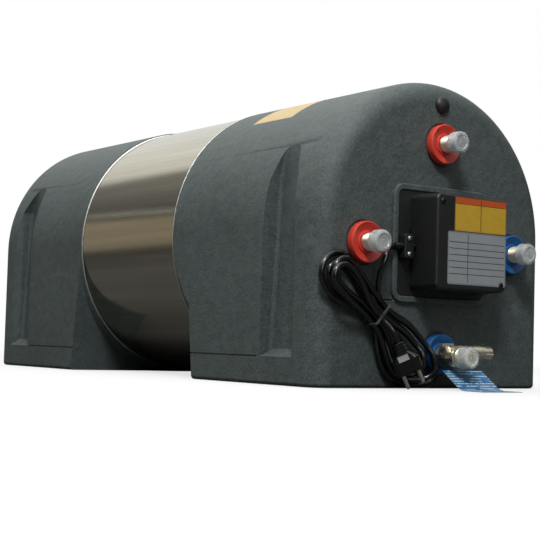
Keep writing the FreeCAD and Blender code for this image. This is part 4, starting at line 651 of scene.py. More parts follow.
def cut_block(piece, low, high):
    """Cut a block between two corners, in metres, out of a piece."""
    deselect()
    bpy.ops.mesh.primitive_cube_add(size=1.0, location=(low + high) / 2.0, scale=high - low)
    tool = bpy.context.object
    settle(tool)
    modify(piece, "BOOLEAN", object=tool, operation="DIFFERENCE", solver="EXACT")
    bpy.data.objects.remove(tool, do_unlink=True)


def cross_screw(name, seat, radius, height, shank_radius, shank_length):
    """A pan-head screw in the panel's direction with a cross recess."""
    head = [
        (-shank_length, shank_radius * 0.7), (1.0 - shank_length, shank_radius), (0.0, shank_radius),
        (0.0, radius * 0.97), (height * 0.35, radius), (height * 0.75, radius * 0.86),
        (height, radius * 0.55),
    ]
    piece = turned(name, head, seat, sides=32)
    for wide, tall in ((radius * 1.1, radius * 0.3), (radius * 0.3, radius * 1.1)):
        low = seat + Vector((-wide / 2 * MM, -(height + 0.5) * MM, -tall / 2 * MM))
        high = seat + Vector((wide / 2 * MM, -(height - 1.1) * MM, tall / 2 * MM))
        cut_block(piece, low, high)
    smooth(piece, 30.0)
    return piece


# The stage: the camera stands at the photograph's viewing angle, in metres and radians

CAMERA_PLACE = (-1.0961, -1.58671, 0.05236)
CAMERA_YAW = 0.6281818
CAMERA_PITCH = 0.0550981
CAMERA_ROLL = 0.0289564

# How much of its colour the floor shows to all but the camera, so that the steel mirrors a dark floor
FLOOR_SHARE = 0.08
FLOOR_DROP = 0.0004

# Each soft light's name, place, aim, width, height and the setting that holds its power
LAMPS = (
    ("stage_key", (-0.7, 0.1, 2.4), (0.0, 0.0, 0.2), 2.4, 3.0, "key_power"),
    ("stage_fill", (-0.95, -1.45, 1.7), (0.0, -0.43, 0.3), 0.42, 0.36, "fill_power"),
    ("stage_card", (-0.2, -2.0, 0.75), (0.0, -0.45, 0.1), 1.1, 0.7, "card_power"),
)


def add_camera(lens):
    level = math.cos(CAMERA_PITCH)
    forward = Vector((math.sin(CAMERA_YAW) * level, math.cos(CAMERA_YAW) * level, math.sin(CAMERA_PITCH)))
    flat = Vector((math.cos(CAMERA_YAW), -math.sin(CAMERA_YAW), 0.0))
    rise = flat.cross(forward)
    right = flat * math.cos(CAMERA_ROLL) + rise * math.sin(CAMERA_ROLL)
    up = rise * math.cos(CAMERA_ROLL) - flat * math.sin(CAMERA_ROLL)
    bpy.ops.object.camera_add(location=CAMERA_PLACE)
    camera = bpy.context.object
    camera.name = "stage_camera"
    camera.rotation_euler = Matrix((right, up, -forward)).transposed().to_euler()
    camera.data.lens = lens
    camera.data.sensor_width = 36.0
    camera.data.clip_start = 0.01
    bpy.context.scene.camera = camera


def add_floor(colour):
    """A pale plane that fades to white with distance, where the camera sees it."""
    bpy.ops.mesh.primitive_plane_add(size=14.0, location=(0.0, 0.0, -FLOOR_DROP))
    floor = bpy.context.object
    floor.name = "stage_floor"
    paint = Paint("pale_floor")
    soft = paint.noise(3.0, 3.0)
    seen = paint.seen()
    worn = paint.mix(soft, shade(colour, 0.98), shade(colour, 1.02))
    paint.feed(Base_Color=paint.mix(seen, shade(colour, FLOOR_SHARE), worn), Roughness=soft * 0.1 + 0.8)
    glow = paint.node("ShaderNodeEmission", None, {"Color": (1.0, 1.0, 1.0, 1.0), "Strength": 1.0})
    away = paint.node("ShaderNodeVectorMath", {"operation": "LENGTH"}, (paint.place(),), "Value")
    share = seen * (away.ramp(0.9, 2.6) * 0.28 + 0.72)
    both = paint.node("ShaderNodeMixShader", None, (share, Value(paint, paint.shader.outputs[0]), glow))
    paint.tree.links.new(both.socket, paint.tree.nodes["Material Output"].inputs["Surface"])
    floor.data.materials.append(paint.material)


def add_lamp(name, place, aim, width, height, power):
    bpy.ops.object.light_add(type="AREA", location=place)
    lamp = bpy.context.object
    lamp.name = name
    lamp.rotation_euler = (Vector(aim) - Vector(place)).to_track_quat("-Z", "Y").to_euler()
    lamp.data.shape = "RECTANGLE"
    lamp.data.size = width
    lamp.data.size_y = height
    lamp.data.energy = power
    lamp.visible_camera = False
    return lamp


def add_surroundings(settings):
    """White where the camera sees it, and otherwise a dim room: bright above and at one end, warm beside."""
    world = bpy.data.worlds.new("stage_surroundings")
    bpy.context.scene.world = world
    world.use_nodes = True
    world.node_tree.nodes.clear()
    room = Nodes(world.node_tree)
    x, y, z = room.parts("Generated")
    ahead = y.ramp(0.2, 0.5)
    overhead = z.ramp(0.1, 0.95) * settings.room
    window = x.ramp(-0.15, -0.07) * z.ramp(0.02, 0.14) * ahead * settings.window
    edge = x.ramp(-0.17, -0.145) * (1.0 - x.ramp(-0.12, -0.09)) * z.ramp(0.3, 0.4) * ahead * 0.5
    beside = (1.0 - x.ramp(-0.42, -0.30)) * ahead
    streak = z.ramp(0.262, 0.275) * (1.0 - z.ramp(0.285, 0.30)) * beside * 0.42
    glow = z.ramp(-0.05, 0.05) * (1.0 - z.ramp(0.22, 0.26)) * beside * 0.32
    tint = room.mix(glow * 3.0, (0.985, 1.0, 0.97), (1.0, 0.86, 0.66))
    total = overhead + window + edge + streak + glow + 0.04
    light = room.node("ShaderNodeBackground", None, {"Color": tint, "Strength": total})
    white = room.node("ShaderNodeBackground", None, {"Color": (1.0, 1.0, 1.0, 1.0), "Strength": 1.0})
    both = room.node("ShaderNodeMixShader", None, (room.seen(), light, white))
    room.node("ShaderNodeOutputWorld", None, {"Surface": both}, None)


class HEATER_OT_stage(bpy.types.Operator):
    """Set the camera, the pale floor, the soft lights and the white surroundings"""

    bl_idname = "heater.stage"
    bl_label = "Stage"

    def execute(self, context):
        settings = context.scene.heater_stage
        deselect()
        add_camera(settings.lens)
        add_floor(tuple(settings.floor_colour))
        for *where, power in LAMPS:
            lamp = add_lamp(*where, getattr(settings, power))
            lamp.visible_diffuse = lamp.name != "stage_card"
        add_surroundings(settings)
        context.scene.view_settings.view_transform = "Standard"
        return {"FINISHED"}


# The mains cord's route: the points of the solids' source but for two, in millimetres from the panel

CORD_EXIT = (-71.0, -8.3, 170.0)
LEAD_POINTS = (
    (-86.5, -8.3, 170.0),
    (-97.0, -14.4, 160.5),
    (-102.0, -14.4, 146.0),
    (-104.8, -10.0, 131.0),
)
HANK_WAIST = Vector((-106.0, -4.9, 90.0))
HANK_UPPER = Vector((-163.0, -4.9, 130.0))
HANK_ALONG = Vector((0.755, 0.0, -0.656)).normalized()
HANK_SIDE = Vector((0.656, 0.0, 0.755)).normalized()
HANK_LAYER = Vector((0.0, -7.8, 0.0))
WAIST_STEP = 9.2
WAIST_SHIFT = 2.2
UPPER_LEFT_REACH = 23.5
UPPER_RIGHT_REACH = 27.5
UPPER_STEP = 5.2
LOWER_STEP = 5.5
LOWER_SHOULDER_ALONG = 62.0
LOWER_SHOULDER_ACROSS = 24.0
LOWER_SHOULDER_LIFT = Vector((0.0, -5.0, 0.0))
LOWER_RIGHT = Vector((-17.2, -17.9, 22.2))
LOWER_RIGHT_INSET = Vector((-1.75, 0.0, 0.85))
LOWER_BOTTOM = Vector((-50.0, -7.5, 4.4))
LOWER_LEFT = Vector((-95.0, -4.9, 31.0))
LOWER_LEFT_INSET = Vector((0.907, 0.0, 0.42))
LOWER_LEFT_HEADING = Vector((-0.42, 0.0, 0.907)).normalized()

# The inner loops' lowest points stand further left than in the solids, which opens their tightest bends
LOWER_BOTTOM_INSET = Vector((-0.5, 0.0, 1.05))

# The plug stands 2 mm higher than its solid, so that both pins clear the floor
PLUG_FACE = Vector((-70.5, -31.0, 21.0))
PLUG_ROW = Vector((0.755, -0.568, 0.316))
PLUG_AXIS = Vector((0.51, 0.0, -0.86)).normalized()
PLUG_LENGTH = 40.0

# How far the cord runs straight to the plug's tail, and how deep it sits in it
PLUG_LEAD = 7.0
PLUG_SEAT = 2.0

# How far from a station a quarter round's control point lies, as a share of the way to the next station
QUARTER_SHARE = 0.293


def waist_place(slot, layer):
    across = WAIST_SHIFT + WAIST_STEP * (1.5 - slot - 0.5 * layer)
    return HANK_WAIST + HANK_SIDE * across + HANK_LAYER * layer


def hank_stations(turns):
    """The hank's stations and the cord's way at each: down, round the lower loop, up and round the bend."""
    down, left = Vector((0.0, 0.0, -1.0)), Vector((-1.0, 0.0, 0.0))
    returns = (waist_place(1, 0), waist_place(1, 1), waist_place(0, 1), waist_place(1.5, 2))
    stations = [(waist_place(0, 0), HANK_ALONG)]
    for k in range(turns):
        layer = k // 2
        nest = 2 * k if layer == 0 else 2 * (4 - k) - 1
        inset = LOWER_STEP * nest
        lift = HANK_LAYER * layer
        upper = HANK_UPPER + HANK_LAYER * (layer if k < 3 else layer + 1)
        shoulder = HANK_WAIST + HANK_SIDE * (LOWER_SHOULDER_ACROSS - inset)
        shoulder += HANK_ALONG * LOWER_SHOULDER_ALONG
        bend_left = UPPER_STEP * nest - UPPER_LEFT_REACH
        bend_right = UPPER_RIGHT_REACH - UPPER_STEP * (2 * (k % 2) + layer)
        radius = (bend_right - bend_left) / 2.0
        stations += [
            (shoulder + lift + LOWER_SHOULDER_LIFT, HANK_ALONG),
            (LOWER_RIGHT + LOWER_RIGHT_INSET * inset + lift, down),
            (LOWER_BOTTOM + LOWER_BOTTOM_INSET * inset + lift, left),
            (LOWER_LEFT + LOWER_LEFT_INSET * inset + lift, LOWER_LEFT_HEADING),
            (waist_place(2 if k in (1, 2) else 3, layer), -HANK_ALONG),
            (upper + HANK_SIDE * bend_left, -HANK_ALONG),
            (upper + HANK_SIDE * (bend_left + radius) - HANK_ALONG * radius, HANK_SIDE),
            (upper + HANK_SIDE * bend_right, HANK_ALONG),
            (returns[k], HANK_ALONG),
        ]
    return stations


def cord_points(turns):
    """The cord's control points in metres: the lead, a pair at each station, and the plug's tail."""
    points = [Vector(p) for p in (CORD_EXIT, *LEAD_POINTS)]
    tail = PLUG_FACE - PLUG_AXIS * PLUG_LENGTH
    stations = hank_stations(turns) + [(tail - PLUG_AXIS * PLUG_LEAD, PLUG_AXIS)]
    before = points[-1]
    for i, (place, way) in enumerate(stations):
        points.append(place - way * (QUARTER_SHARE * (place - before).length))
        if i + 1 < len(stations):
            points.append(place + way * (QUARTER_SHARE * (stations[i + 1][0] - place).length))
        before = place
    points.append(tail + PLUG_AXIS * PLUG_SEAT)
    return [on_panel(p.x, -p.y, p.z) for p in points]


class HEATER_OT_cord(bpy.types.Operator):
    """Lay the mains cord: from its clamp down into the tied hank and to the plug's tail"""

    bl_idname = "heater.cord"
    bl_label = "Mains Cord"

    def execute(self, context):
        settings = context.scene.heater_cord
        points = cord_points(settings.turns)
        curve = bpy.data.curves.new("mains_cord", "CURVE")
        curve.dimensions = "3D"
        spline = curve.splines.new("NURBS")
        spline.points.add(len(points) - 1)
        for control, point in zip(spline.points, points):
            control.co = (*point, 1.0)
        spline.order_u = 3
        spline.use_endpoint_u = True
        spline.resolution_u = 8
        curve.bevel_depth = settings.diameter / 2.0
        curve.bevel_resolution = 5
        curve.use_fill_caps = True
        cord = bpy.data.objects.new("mains_cord", curve)
        context.scene.collection.objects.link(cord)
        place_piece(cord, "cord_pvc", "heater", "power_lead", "cord_hank")
        return {"FINISHED"}


# The rounding of the shells' arched edges at the jacket, in millimetres
SEAM_ROUNDING = 2.2

# How near to such an edge a point lies that is on it, in metres
EDGE_NEAR = 0.0001

# The seam bead's section: how far along from the shell's edge, and the radius, down to its bore
BEAD_BORE = 186.62
SEAM_BEAD = (
    (0.05, BEAD_BORE), (0.05, 188.5), (0.2, 188.8), (0.5, 188.97), (0.9, 188.97), (1.3, 188.8), (1.7, 188.4),
    (2.1, 187.7), (2.4, 187.0), (2.4, BEAD_BORE), (0.05, BEAD_BORE),
)

# How much flatter the rear bead is, in millimetres
REAR_BEAD_DROP = 1.4


class HEATER_OT_shells(bpy.types.Operator):
    """Dress the two moulded end shells and their seam beads"""

    bl_idname = "heater.shells"
    bl_label = "End Shells"

    def execute(self, context):
        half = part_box("front_shell")[1].x
        for node, end in (("front_shell", 1), ("rear_shell", 0)):
            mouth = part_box(node)[end].y

            def on_arch(place):
                reach = math.hypot(place.x, place.z - AXIS_Z)
                above = place.z > AXIS_Z - 0.001
                return above and abs(place.y - mouth) < EDGE_NEAR and abs(reach - half) < 2.0 * EDGE_NEAR

            dressed(node, node + "_moulding", "shell_plastic", 30.0, 0.5, rim=on_arch)
        beads = (("front_seam_ring", 0, 1.0, 0.0), ("rear_seam_ring", 1, -1.0, REAR_BEAD_DROP))
        for node, end, way, drop in beads:
            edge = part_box(node)[end].y / MM
            profile = [(-(edge + way * along), max(radius - drop, BEAD_BORE)) for along, radius in SEAM_BEAD]
            bead = turned(node.replace("ring", "bead"), profile, (0.0, 0.0, AXIS_Z), sides=256, bored=True)
            smooth(bead, 50.0)
            place_piece(bead, "seam_metal", "heater", node)
        return {"FINISHED"}


# The jacket's wall, and how far from its rims an extra ring of edges lies, in millimetres
JACKET_WALL = 0.8
JACKET_HEM = 2.0


class HEATER_OT_jacket(bpy.types.Operator):
    """Roll the brushed steel jacket"""

    bl_idname = "heater.jacket"
    bl_label = "Steel Jacket"

    def execute(self, context):
        low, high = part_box("steel_jacket")
        outer = context.scene.heater_jacket.radius / MM
        inner = outer - JACKET_WALL
        start, end = -low.y / MM, -high.y / MM
        profile = [
            (start, outer), (start - JACKET_HEM, outer), (end + JACKET_HEM, outer), (end, outer),
            (end, inner), (start, inner), (start, outer),
        ]
        piece = turned("jacket_band", profile, (0.0, 0.0, AXIS_Z), sides=256, bored=True)
        smooth(piece, 30.0)
        place_piece(piece, "jacket_steel", "heater", "steel_jacket")
        return {"FINISHED"}


# How far the side fittings stand from the middle, in millimetres
SIDE_X = 121.8

# Each fitting's name, its x, its z and its stub's reach in millimetres, and its collar's slot
FITTINGS = (
    ("hot", 0.0, 300.4, 33.0, "red_plastic"),
    ("engine_out", -SIDE_X, 171.5, 33.0, "red_plastic"),
    ("engine_in", SIDE_X, 171.5, 33.0, "blue_plastic"),
    ("cold", 0.0, 42.2, 25.0, "blue_plastic"),
)
VALVE_CAP_OUT = 24.4
VALVE_CAP_Z = 38.7
BLANK_PLUG_Z = 350.0

# Turned sections: how far out from the panel, and the radius
STUB_START = -110.0
STUB_BORE = 8.1
STUB_RADIUS = 10.1
THREAD_START = 10.0
THREAD_END = 31.0
COLLAR = (
    (0.2, 10.6), (0.2, 24.0), (2.0, 24.6), (4.9, 24.85), (8.6, 24.85), (9.8, 24.4), (10.35, 23.6),
    (9.9, 22.2), (8.0, 18.5), (6.6, 14.8), (6.5, 13.6), (8.0, 12.9), (8.3, 12.2), (8.3, 10.6), (0.2, 10.6),
)
CAP = (
    (34.0, 10.9), (24.6, 10.9), (24.3, 11.4), (24.3, 12.9), (24.7, 13.3), (25.4, 13.5), (27.0, 13.5),
    (27.4, 13.2), (28.0, 13.2), (28.4, 13.45), (34.6, 13.4), (36.4, 12.9), (37.5, 11.6), (38.0, 10.0),
    (38.0, 8.8), (37.6, 8.2), (36.8, 7.7), (36.8, 2.0), (37.2, 1.4),
)
DOME_FOOT = ((-9.0, 6.4), (-8.4, 7.0), (0.1, 7.0), (0.1, 11.0), (0.9, 11.0))

# One turn of thread: the share of the pitch, and the radius
THREAD_TURN = ((0.0, 9.5), (0.4, 10.45), (0.55, 10.45), (0.95, 9.5))


def stub_section(pitch, reach):
    """A bored stub with thread turns of the given pitch, from inside the panel out to its reach."""
    section = [(STUB_START, STUB_RADIUS), (THREAD_START - 1.0, STUB_RADIUS)]
    start = THREAD_START
    while start + pitch < THREAD_END:
        section += [(start + pitch * share, radius) for share, radius in THREAD_TURN]
        start += pitch
    section = [p for p in section if p[0] < reach - 1.2]
    section += [(reach - 0.8, section[-1][1]), (reach, 9.4), (reach, STUB_BORE)]
    return section + [(STUB_START, STUB_BORE), (STUB_START, STUB_RADIUS)]


def dome_section():
    """The blank plug: a stem, a flange and a dome of an elliptical section."""
    turns = [math.radians(i * 10.8) for i in range(1, 9)]
    return [*DOME_FOOT, *((0.9 + 6.6 * math.sin(turn), 10.7 * math.cos(turn) + 0.1) for turn in turns)]


class HEATER_OT_fittings(bpy.types.Operator):
    """Turn the threaded stubs, their dished collars, the push-on caps and the domed blank plug"""

    bl_idname = "heater.fittings"
    bl_label = "Pipe Fittings"

    def execute(self, context):
        pitch = context.scene.heater_fittings.thread_pitch / MM
        middles = {name: on_panel(x, 0.0, z) for name, x, z, reach, slot in FITTINGS}
        start = middles["hot"]
        for name, x, z, reach, slot in FITTINGS:
            stub = turned(name + "_thread", stub_section(pitch, reach), middles[name], sides=64, bored=True)
            smooth(stub, 25.0)
            place_piece(stub, "nickel_brass", "heater", name + "_stub")

        # The pattern hides the hot collar's solid before it is copied, and each copy then hides its own
        # collar's solid
        dish = turned("dish_pattern", COLLAR, start, sides=96, bored=True)
        smooth(dish, 30.0)
        place_piece(dish, "red_plastic", "heater", "hot_collar")
        dishes = spread(dish, start, [(name + "_dish", middle) for name, middle in middles.items()])
        for dish, (name, x, z, reach, slot) in zip(dishes, FITTINGS):
            place_piece(dish, slot, "heater", name + "_collar")

        cap = turned("cap_pattern", CAP, start, sides=72)
        smooth(cap, 28.0)
        ends = {**middles, "valve": on_panel(0.0, VALVE_CAP_OUT, VALVE_CAP_Z)}
        del ends["cold"]
        caps = spread(cap, start, [(name + "_cap_shell", end) for name, end in ends.items()])
        for cap, name in zip(caps, ends):
            place_piece(cap, "milky_plastic", name + "_cap_body", name + "_cap")

        plug = turned("blank_dome", dome_section(), on_panel(0.0, 0.0, BLANK_PLUG_Z), sides=64)
        smooth(plug, 30.0)
        place_piece(plug, "black_plastic", "heater", "blank_plug")
        return {"FINISHED"}


def screw_places(node):
    """Where the screws of a group stand in the panel's plane, from the solids' own boxes, in millimetres."""
    low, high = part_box(node)
    centre = (low + high) / 2.0
    groups = {}
    for vertex in frame["nodes"][node].data.vertices:
        p = vertex.co
        groups.setdefault((p.x > centre.x, p.z > centre.z), []).append(p)
    places = []
    for group in groups.values():
        xs, zs = [p.x for p in group], [p.z for p in group]
        places.append(((min(xs) + max(xs)) / 2.0 / MM, (min(zs) + max(zs)) / 2.0 / MM))
    return sorted(places)


# The pieces of the electric box whose solids have the right shape: node, name, slot, bevel and body
BOX_PIECES = (
    ("box_tray", "box_tray_moulding", "black_plastic", 0.35, "heater"),
    ("box_cover", "box_cover_moulding", "black_plastic", 0.3, "heater"),
    ("clamp_bar", "clamp_saddle", "black_plastic", 0.25, "heater"),
    ("terminal_block", "terminal_moulded_block", "black_plastic", 0.4, "heater"),
    ("thermostat_body", "thermostat_moulded_body", "black_plastic", 0.4, "heater"),
    ("thermostat_dial", "thermostat_dial_grip", "dial_plastic", 0.4, "thermostat_dial_body"),
    ("reset_button", "reset_button_tip", "reset_plastic", 0.2, "reset_button_body"),
)

# How far out the heads sit, and each screw's head radius, head height, shank radius and shank length
COVER_OUT = 48.0
COVER_SCREW = (3.6, 2.0, 2.0, 14.0)
CLAMP_OUT = 15.5
CLAMP_SCREW = (3.4, 2.2, 1.8, 14.0)
CLAMP_SCREW_PLACES = ((-62.0, 160.5), (-62.0, 179.5))


class HEATER_OT_box(bpy.types.Operator):
    """Dress the electric box: tray, cover, screws, cord clamp and the control inside"""

    bl_idname = "heater.box"
    bl_label = "Electric Box"

    def execute(self, context):
        for node, name, slot, bevel, body in BOX_PIECES:
            dressed(node, name, slot, 32.0, bevel, body)
        for kind, out, sizes, places, look in (
            ("cover_screw", COVER_OUT, COVER_SCREW, screw_places("cover_screws"), finish("dark_screw")),
            ("clamp_screw", CLAMP_OUT, CLAMP_SCREW, CLAMP_SCREW_PLACES, None),
        ):
            seats = [on_panel(x, out, z) for x, z in places]
            pattern = cross_screw(kind + "_pattern", seats[0], *sizes)
            names = ["%s_%d" % (kind, i + 1) for i in range(len(seats))]
            for screw in spread(pattern, seats[0], zip(names, seats)):
                place_piece(screw, "screw_steel", "heater", kind + "s", look=look)
        return {"FINISHED"}


def sticker(name, middle, right, up, size, material, onto=None, columns=2, corner=0.0):
    """A thin blank sticker with its own UV map, laid on a flat or curved face. Its size is in millimetres."""
    deselect()
    right, up = Vector(right).normalized(), Vector(up).normalized()
    bpy.ops.mesh.primitive_grid_add(x_subdivisions=columns, y_subdivisions=columns, size=1.0)
    piece = bpy.context.object
    piece.name = name
    turn = Matrix((right, up, right.cross(up))).transposed().to_4x4()
    scale = Matrix.Diagonal((size[0] * MM, size[1] * MM, 1.0, 1.0))
    piece.matrix_world = Matrix.Translation(middle) @ turn @ scale
    settle(piece)
    if corner:
        reach = math.hypot(*size) / 2.0 * MM - 1e-5
        select_where(piece, "VERT", lambda vertex: (vertex.co - middle).length > reach)
        bpy.ops.mesh.bevel(offset=corner * MM, segments=6, affect="VERTICES")
        mode("OBJECT")
    if onto:
        modify(
            piece, "SHRINKWRAP", target=onto, wrap_method="PROJECT", use_project_z=False,
            use_negative_direction=True, use_positive_direction=True, offset=0.00018,
        )
    modify(piece, "SOLIDIFY", thickness=0.00012, offset=0.0)
    smooth(piece, 40.0)
    return place_piece(piece, "dial_plastic", "heater", look=material)


# The cord's sleeve: how far out from the clamp, and the radius, with the grooves that let it bend
SLEEVE = (
    (-25.0, 4.9), (-24.4, 5.15), (-1.0, 5.15), (0.0, 5.1), (1.2, 5.0), (1.5, 4.5), (2.6, 4.5), (2.9, 4.9),
    (4.1, 4.8), (4.4, 4.3), (5.5, 4.3), (5.8, 4.65), (7.0, 4.5), (7.3, 4.1), (8.4, 4.1), (8.7, 4.35),
    (10.0, 4.2), (10.4, 3.75),
)
CLAMP_LEFT = -69.0

# The plug's block in metres, and its taper with grip ribs: each step back, and its change of width and depth
PLUG_BLOCK = (0.0336, 0.0156, 0.016)
PLUG_BLOCK_MIDDLE = -0.0085
PLUG_BLOCK_BACK = -0.0165
PLUG_BLOCK_ROUNDING = 0.0074
PLUG_STEPS = (
    (-0.0012, 0.96, 0.95), (-0.0030, 0.86, 0.9), (-0.0030, 0.80, 0.94), (-0.0024, 0.80, 0.96),
    (-0.0012, 0.86, 0.88), (-0.0012, 1.0, 1.0), (-0.0008, 1.09, 1.05), (-0.0016, 1.0, 1.0),
    (-0.0008, 0.88, 0.92), (-0.0012, 1.0, 1.0), (-0.0008, 1.08, 1.05), (-0.0016, 1.0, 1.0),
    (-0.0008, 0.86, 0.92), (-0.0012, 1.0, 1.0), (-0.0008, 1.04, 1.04), (-0.0016, 0.96, 0.98),
)
# Where the pale blank patch lies on the plug's grip, in metres
PLUG_PATCH_PLACE = Vector((-0.002, 0.0075, -0.0212))
PIN_SIDE = 9.5
PIN = ((-3.0, 2.0), (0.0, 2.0), (0.2, 2.35), (16.6, 2.38), (17.8, 2.1), (18.6, 1.5), (18.95, 0.8))


def plug_grip(stand):
    """The plug's moulded grip: a block with rounded sides, drawn out backwards and stood in its place."""
    deselect()
    bpy.ops.mesh.primitive_cube_add(size=1.0, location=(0.0, 0.0, PLUG_BLOCK_MIDDLE), scale=PLUG_BLOCK)
    body = bpy.context.object
    body.name = "plug_grip"
    settle(body)

    def upright(edge):
        first, second = (body.data.vertices[i].co.z for i in edge.vertices)
        return abs(first - second) > PLUG_BLOCK[2] / 2.0

    select_where(body, "EDGE", upright)
    bpy.ops.mesh.bevel(offset=PLUG_BLOCK_ROUNDING, segments=8, affect="EDGES")
    select_where(body, "FACE", lambda face: face.normal.z < -0.9)
    back = PLUG_BLOCK_BACK
    for move, wide, deep in PLUG_STEPS:
        bpy.ops.mesh.extrude_region_move(TRANSFORM_OT_translate={"value": (0.0, 0.0, move)})
        back += move
        bpy.ops.transform.resize(value=(wide, deep, 1.0), center_override=(0.0, 0.0, back))
    mode("OBJECT")
    body.matrix_world = stand
    settle(body)
    tidy_mesh(body)
    round_edges(body, 0.9, 38.0, 3)
    smooth(body, 35.0)
    return place_piece(body, "cord_pvc", "heater", "plug_body")


class HEATER_OT_cord_ends(bpy.types.Operator):
    """Model the cord's tapered sleeve, the strap round the hank, the two-pin plug and its pins"""

    bl_idname = "heater.cord_ends"
    bl_label = "Cord Ends"

    def execute(self, context):
        mouth = on_panel(CLAMP_LEFT, -CORD_EXIT[1], CORD_EXIT[2])
        sleeve = turned("cord_sleeve", SLEEVE, mouth, (-1.0, 0.0, 0.0), sides=40)
        smooth(sleeve, 35.0)
        place_piece(sleeve, "cord_pvc", "heater", "strain_relief")
        dressed("cord_tie", "hank_strap", "tie_film", 40.0)

        row = (PLUG_ROW - PLUG_AXIS * PLUG_ROW.dot(PLUG_AXIS)).normalized()
        face = on_panel(PLUG_FACE.x, -PLUG_FACE.y, PLUG_FACE.z)
        turn = Matrix((row, PLUG_AXIS.cross(row), PLUG_AXIS)).transposed().to_4x4()
        stand = Matrix.Translation(face) @ turn
        body = plug_grip(stand)
        # A pale blank patch laid on the plug's tail
        patch = printed_sheet("plug_patch", srgb(176, 180, 178), srgb(120, 124, 122))
        sticker("plug_label", stand @ PLUG_PATCH_PLACE, row, PLUG_AXIS, (13.0, 7.0), patch, body, 6)
        for i, side in enumerate((-PIN_SIDE, PIN_SIDE)):
            pin = turned("plug_pin_%d" % (i + 1), PIN, face + row * (side * MM), PLUG_AXIS, sides=28)
            smooth(pin, 30.0)
            place_piece(pin, "pin_metal", "heater", "plug_pins")
        tuple(cord_points(context.scene.heater_cord.turns)[0])
        return {"FINISHED"}


# Parts of the valve whose solids have the right shape: node, name, bevel and body
VALVE_PIECES = (
    ("valve_body", "valve_casting", 0.5, "heater"),
    ("valve_bonnet", "valve_bonnet_cup", 0.3, "heater"),
    ("valve_knob", "valve_turning_knob", 0.35, "valve_knob_body"),
    ("relief_stem", "relief_stem_rod", 0.15, "relief_stem_body"),
    ("check_disc", "check_disc_plate", 0.15, "check_disc_body"),
)

# Each spring's node, radius and axis, its joint, and one end of its span
SPRINGS = (
    ("relief_spring", 5.7, (1.0, 0.0, 0.0), "relief_lift", -0.5),
    ("check_spring", 6.9, (0.0, 1.0, 0.0), "check_open", 0.5),
)
SPRING_WIRE = 0.5
SPRING_TURNS = 5


def coil_spring(name, start, axis, length, radius):
    """A wire circle wound round its axis by a screw modifier, with its ends closed."""
    deselect()
    bpy.ops.mesh.primitive_circle_add(
        vertices=10, radius=SPRING_WIRE * MM, fill_type="NOTHING", rotation=(math.pi / 2, 0.0, 0.0),
        location=((radius - SPRING_WIRE) * MM, 0.0, SPRING_WIRE * MM),
    )
    piece = bpy.context.object
    piece.name = name
    settle(piece)
    steps = 20 * SPRING_TURNS
    modify(
        piece, "SCREW", angle=2.0 * math.pi * SPRING_TURNS, screw_offset=(length - 2.0 * SPRING_WIRE) * MM,
        steps=steps, render_steps=steps, axis="Z", use_merge_vertices=True, merge_threshold=1e-6,
    )
    select_all(piece)
    bpy.ops.mesh.fill_holes(sides=12)
    bpy.ops.mesh.normals_make_consistent(inside=False)
    mode("OBJECT")
    piece.matrix_world = Matrix.Translation(start) @ Vector(axis).to_track_quat("Z", "Y").to_matrix().to_4x4()
    settle(piece)
    smooth(piece, 40.0)
    return piece


class HEATER_OT_valve(bpy.types.Operator):
    """Dress the safety valve: body, bonnet, turning knob, stem, discs and springs"""

    bl_idname = "heater.valve"
    bl_label = "Safety Valve"

    def execute(self, context):
        for node, name, bevel, body in VALVE_PIECES:
            dressed(node, name, "nickel_brass", 34.0, bevel, body)
        travels = {j["name"]: j.get("range_m") for j in frame["record"]["behaviour"]["joints"]}
        for node, radius, axis, joint, seat in SPRINGS:
            low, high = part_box(node)
            middle = (low + high) / 2.0
            span = (high - low).dot(Vector(axis))
            start = middle - Vector(axis) * (span / 2.0)
            spring = coil_spring(node + "_wire", start, axis, span / MM, radius)
            place_piece(spring, "spring_steel", "heater", node)
            1.0 - travels[joint][1] / span
            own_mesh(spring)
        return {"FINISHED"}


class HEATER_OT_tag(bpy.types.Operator):
    """Dress the folded paper tag on the valve and its tie"""

    bl_idname = "heater.tag"
    bl_label = "Paper Tag"

    def execute(self, context):
        dressed("paper_tag", "folded_tag", "tag_paper", 40.0)
        dressed("tag_tie", "tag_ring", "thread_tie", 40.0)
        return {"FINISHED"}


# The stickers' places on the box cover, in millimetres, and the patch's on the arch of the front shell
STICKER_OUT = 48.12
NOTICE_PLACE = (23.4, 210.8)
NOTICE_SIZE = (87.0, 41.0)
PLATE_PLACE = (18.2, 157.8)
PLATE_SIZE = (98.0, 63.5)
PLATE_ROWS = (0.8, 0.68, 0.56, 0.44, 0.32, 0.2)
PLATE_CORNER = 2.5
PATCH_ANGLE = math.radians(-28.8)
PATCH_RADIUS = 0.1893
PATCH_Y = -0.2335
PATCH_SIZE = (87.0, 62.0)


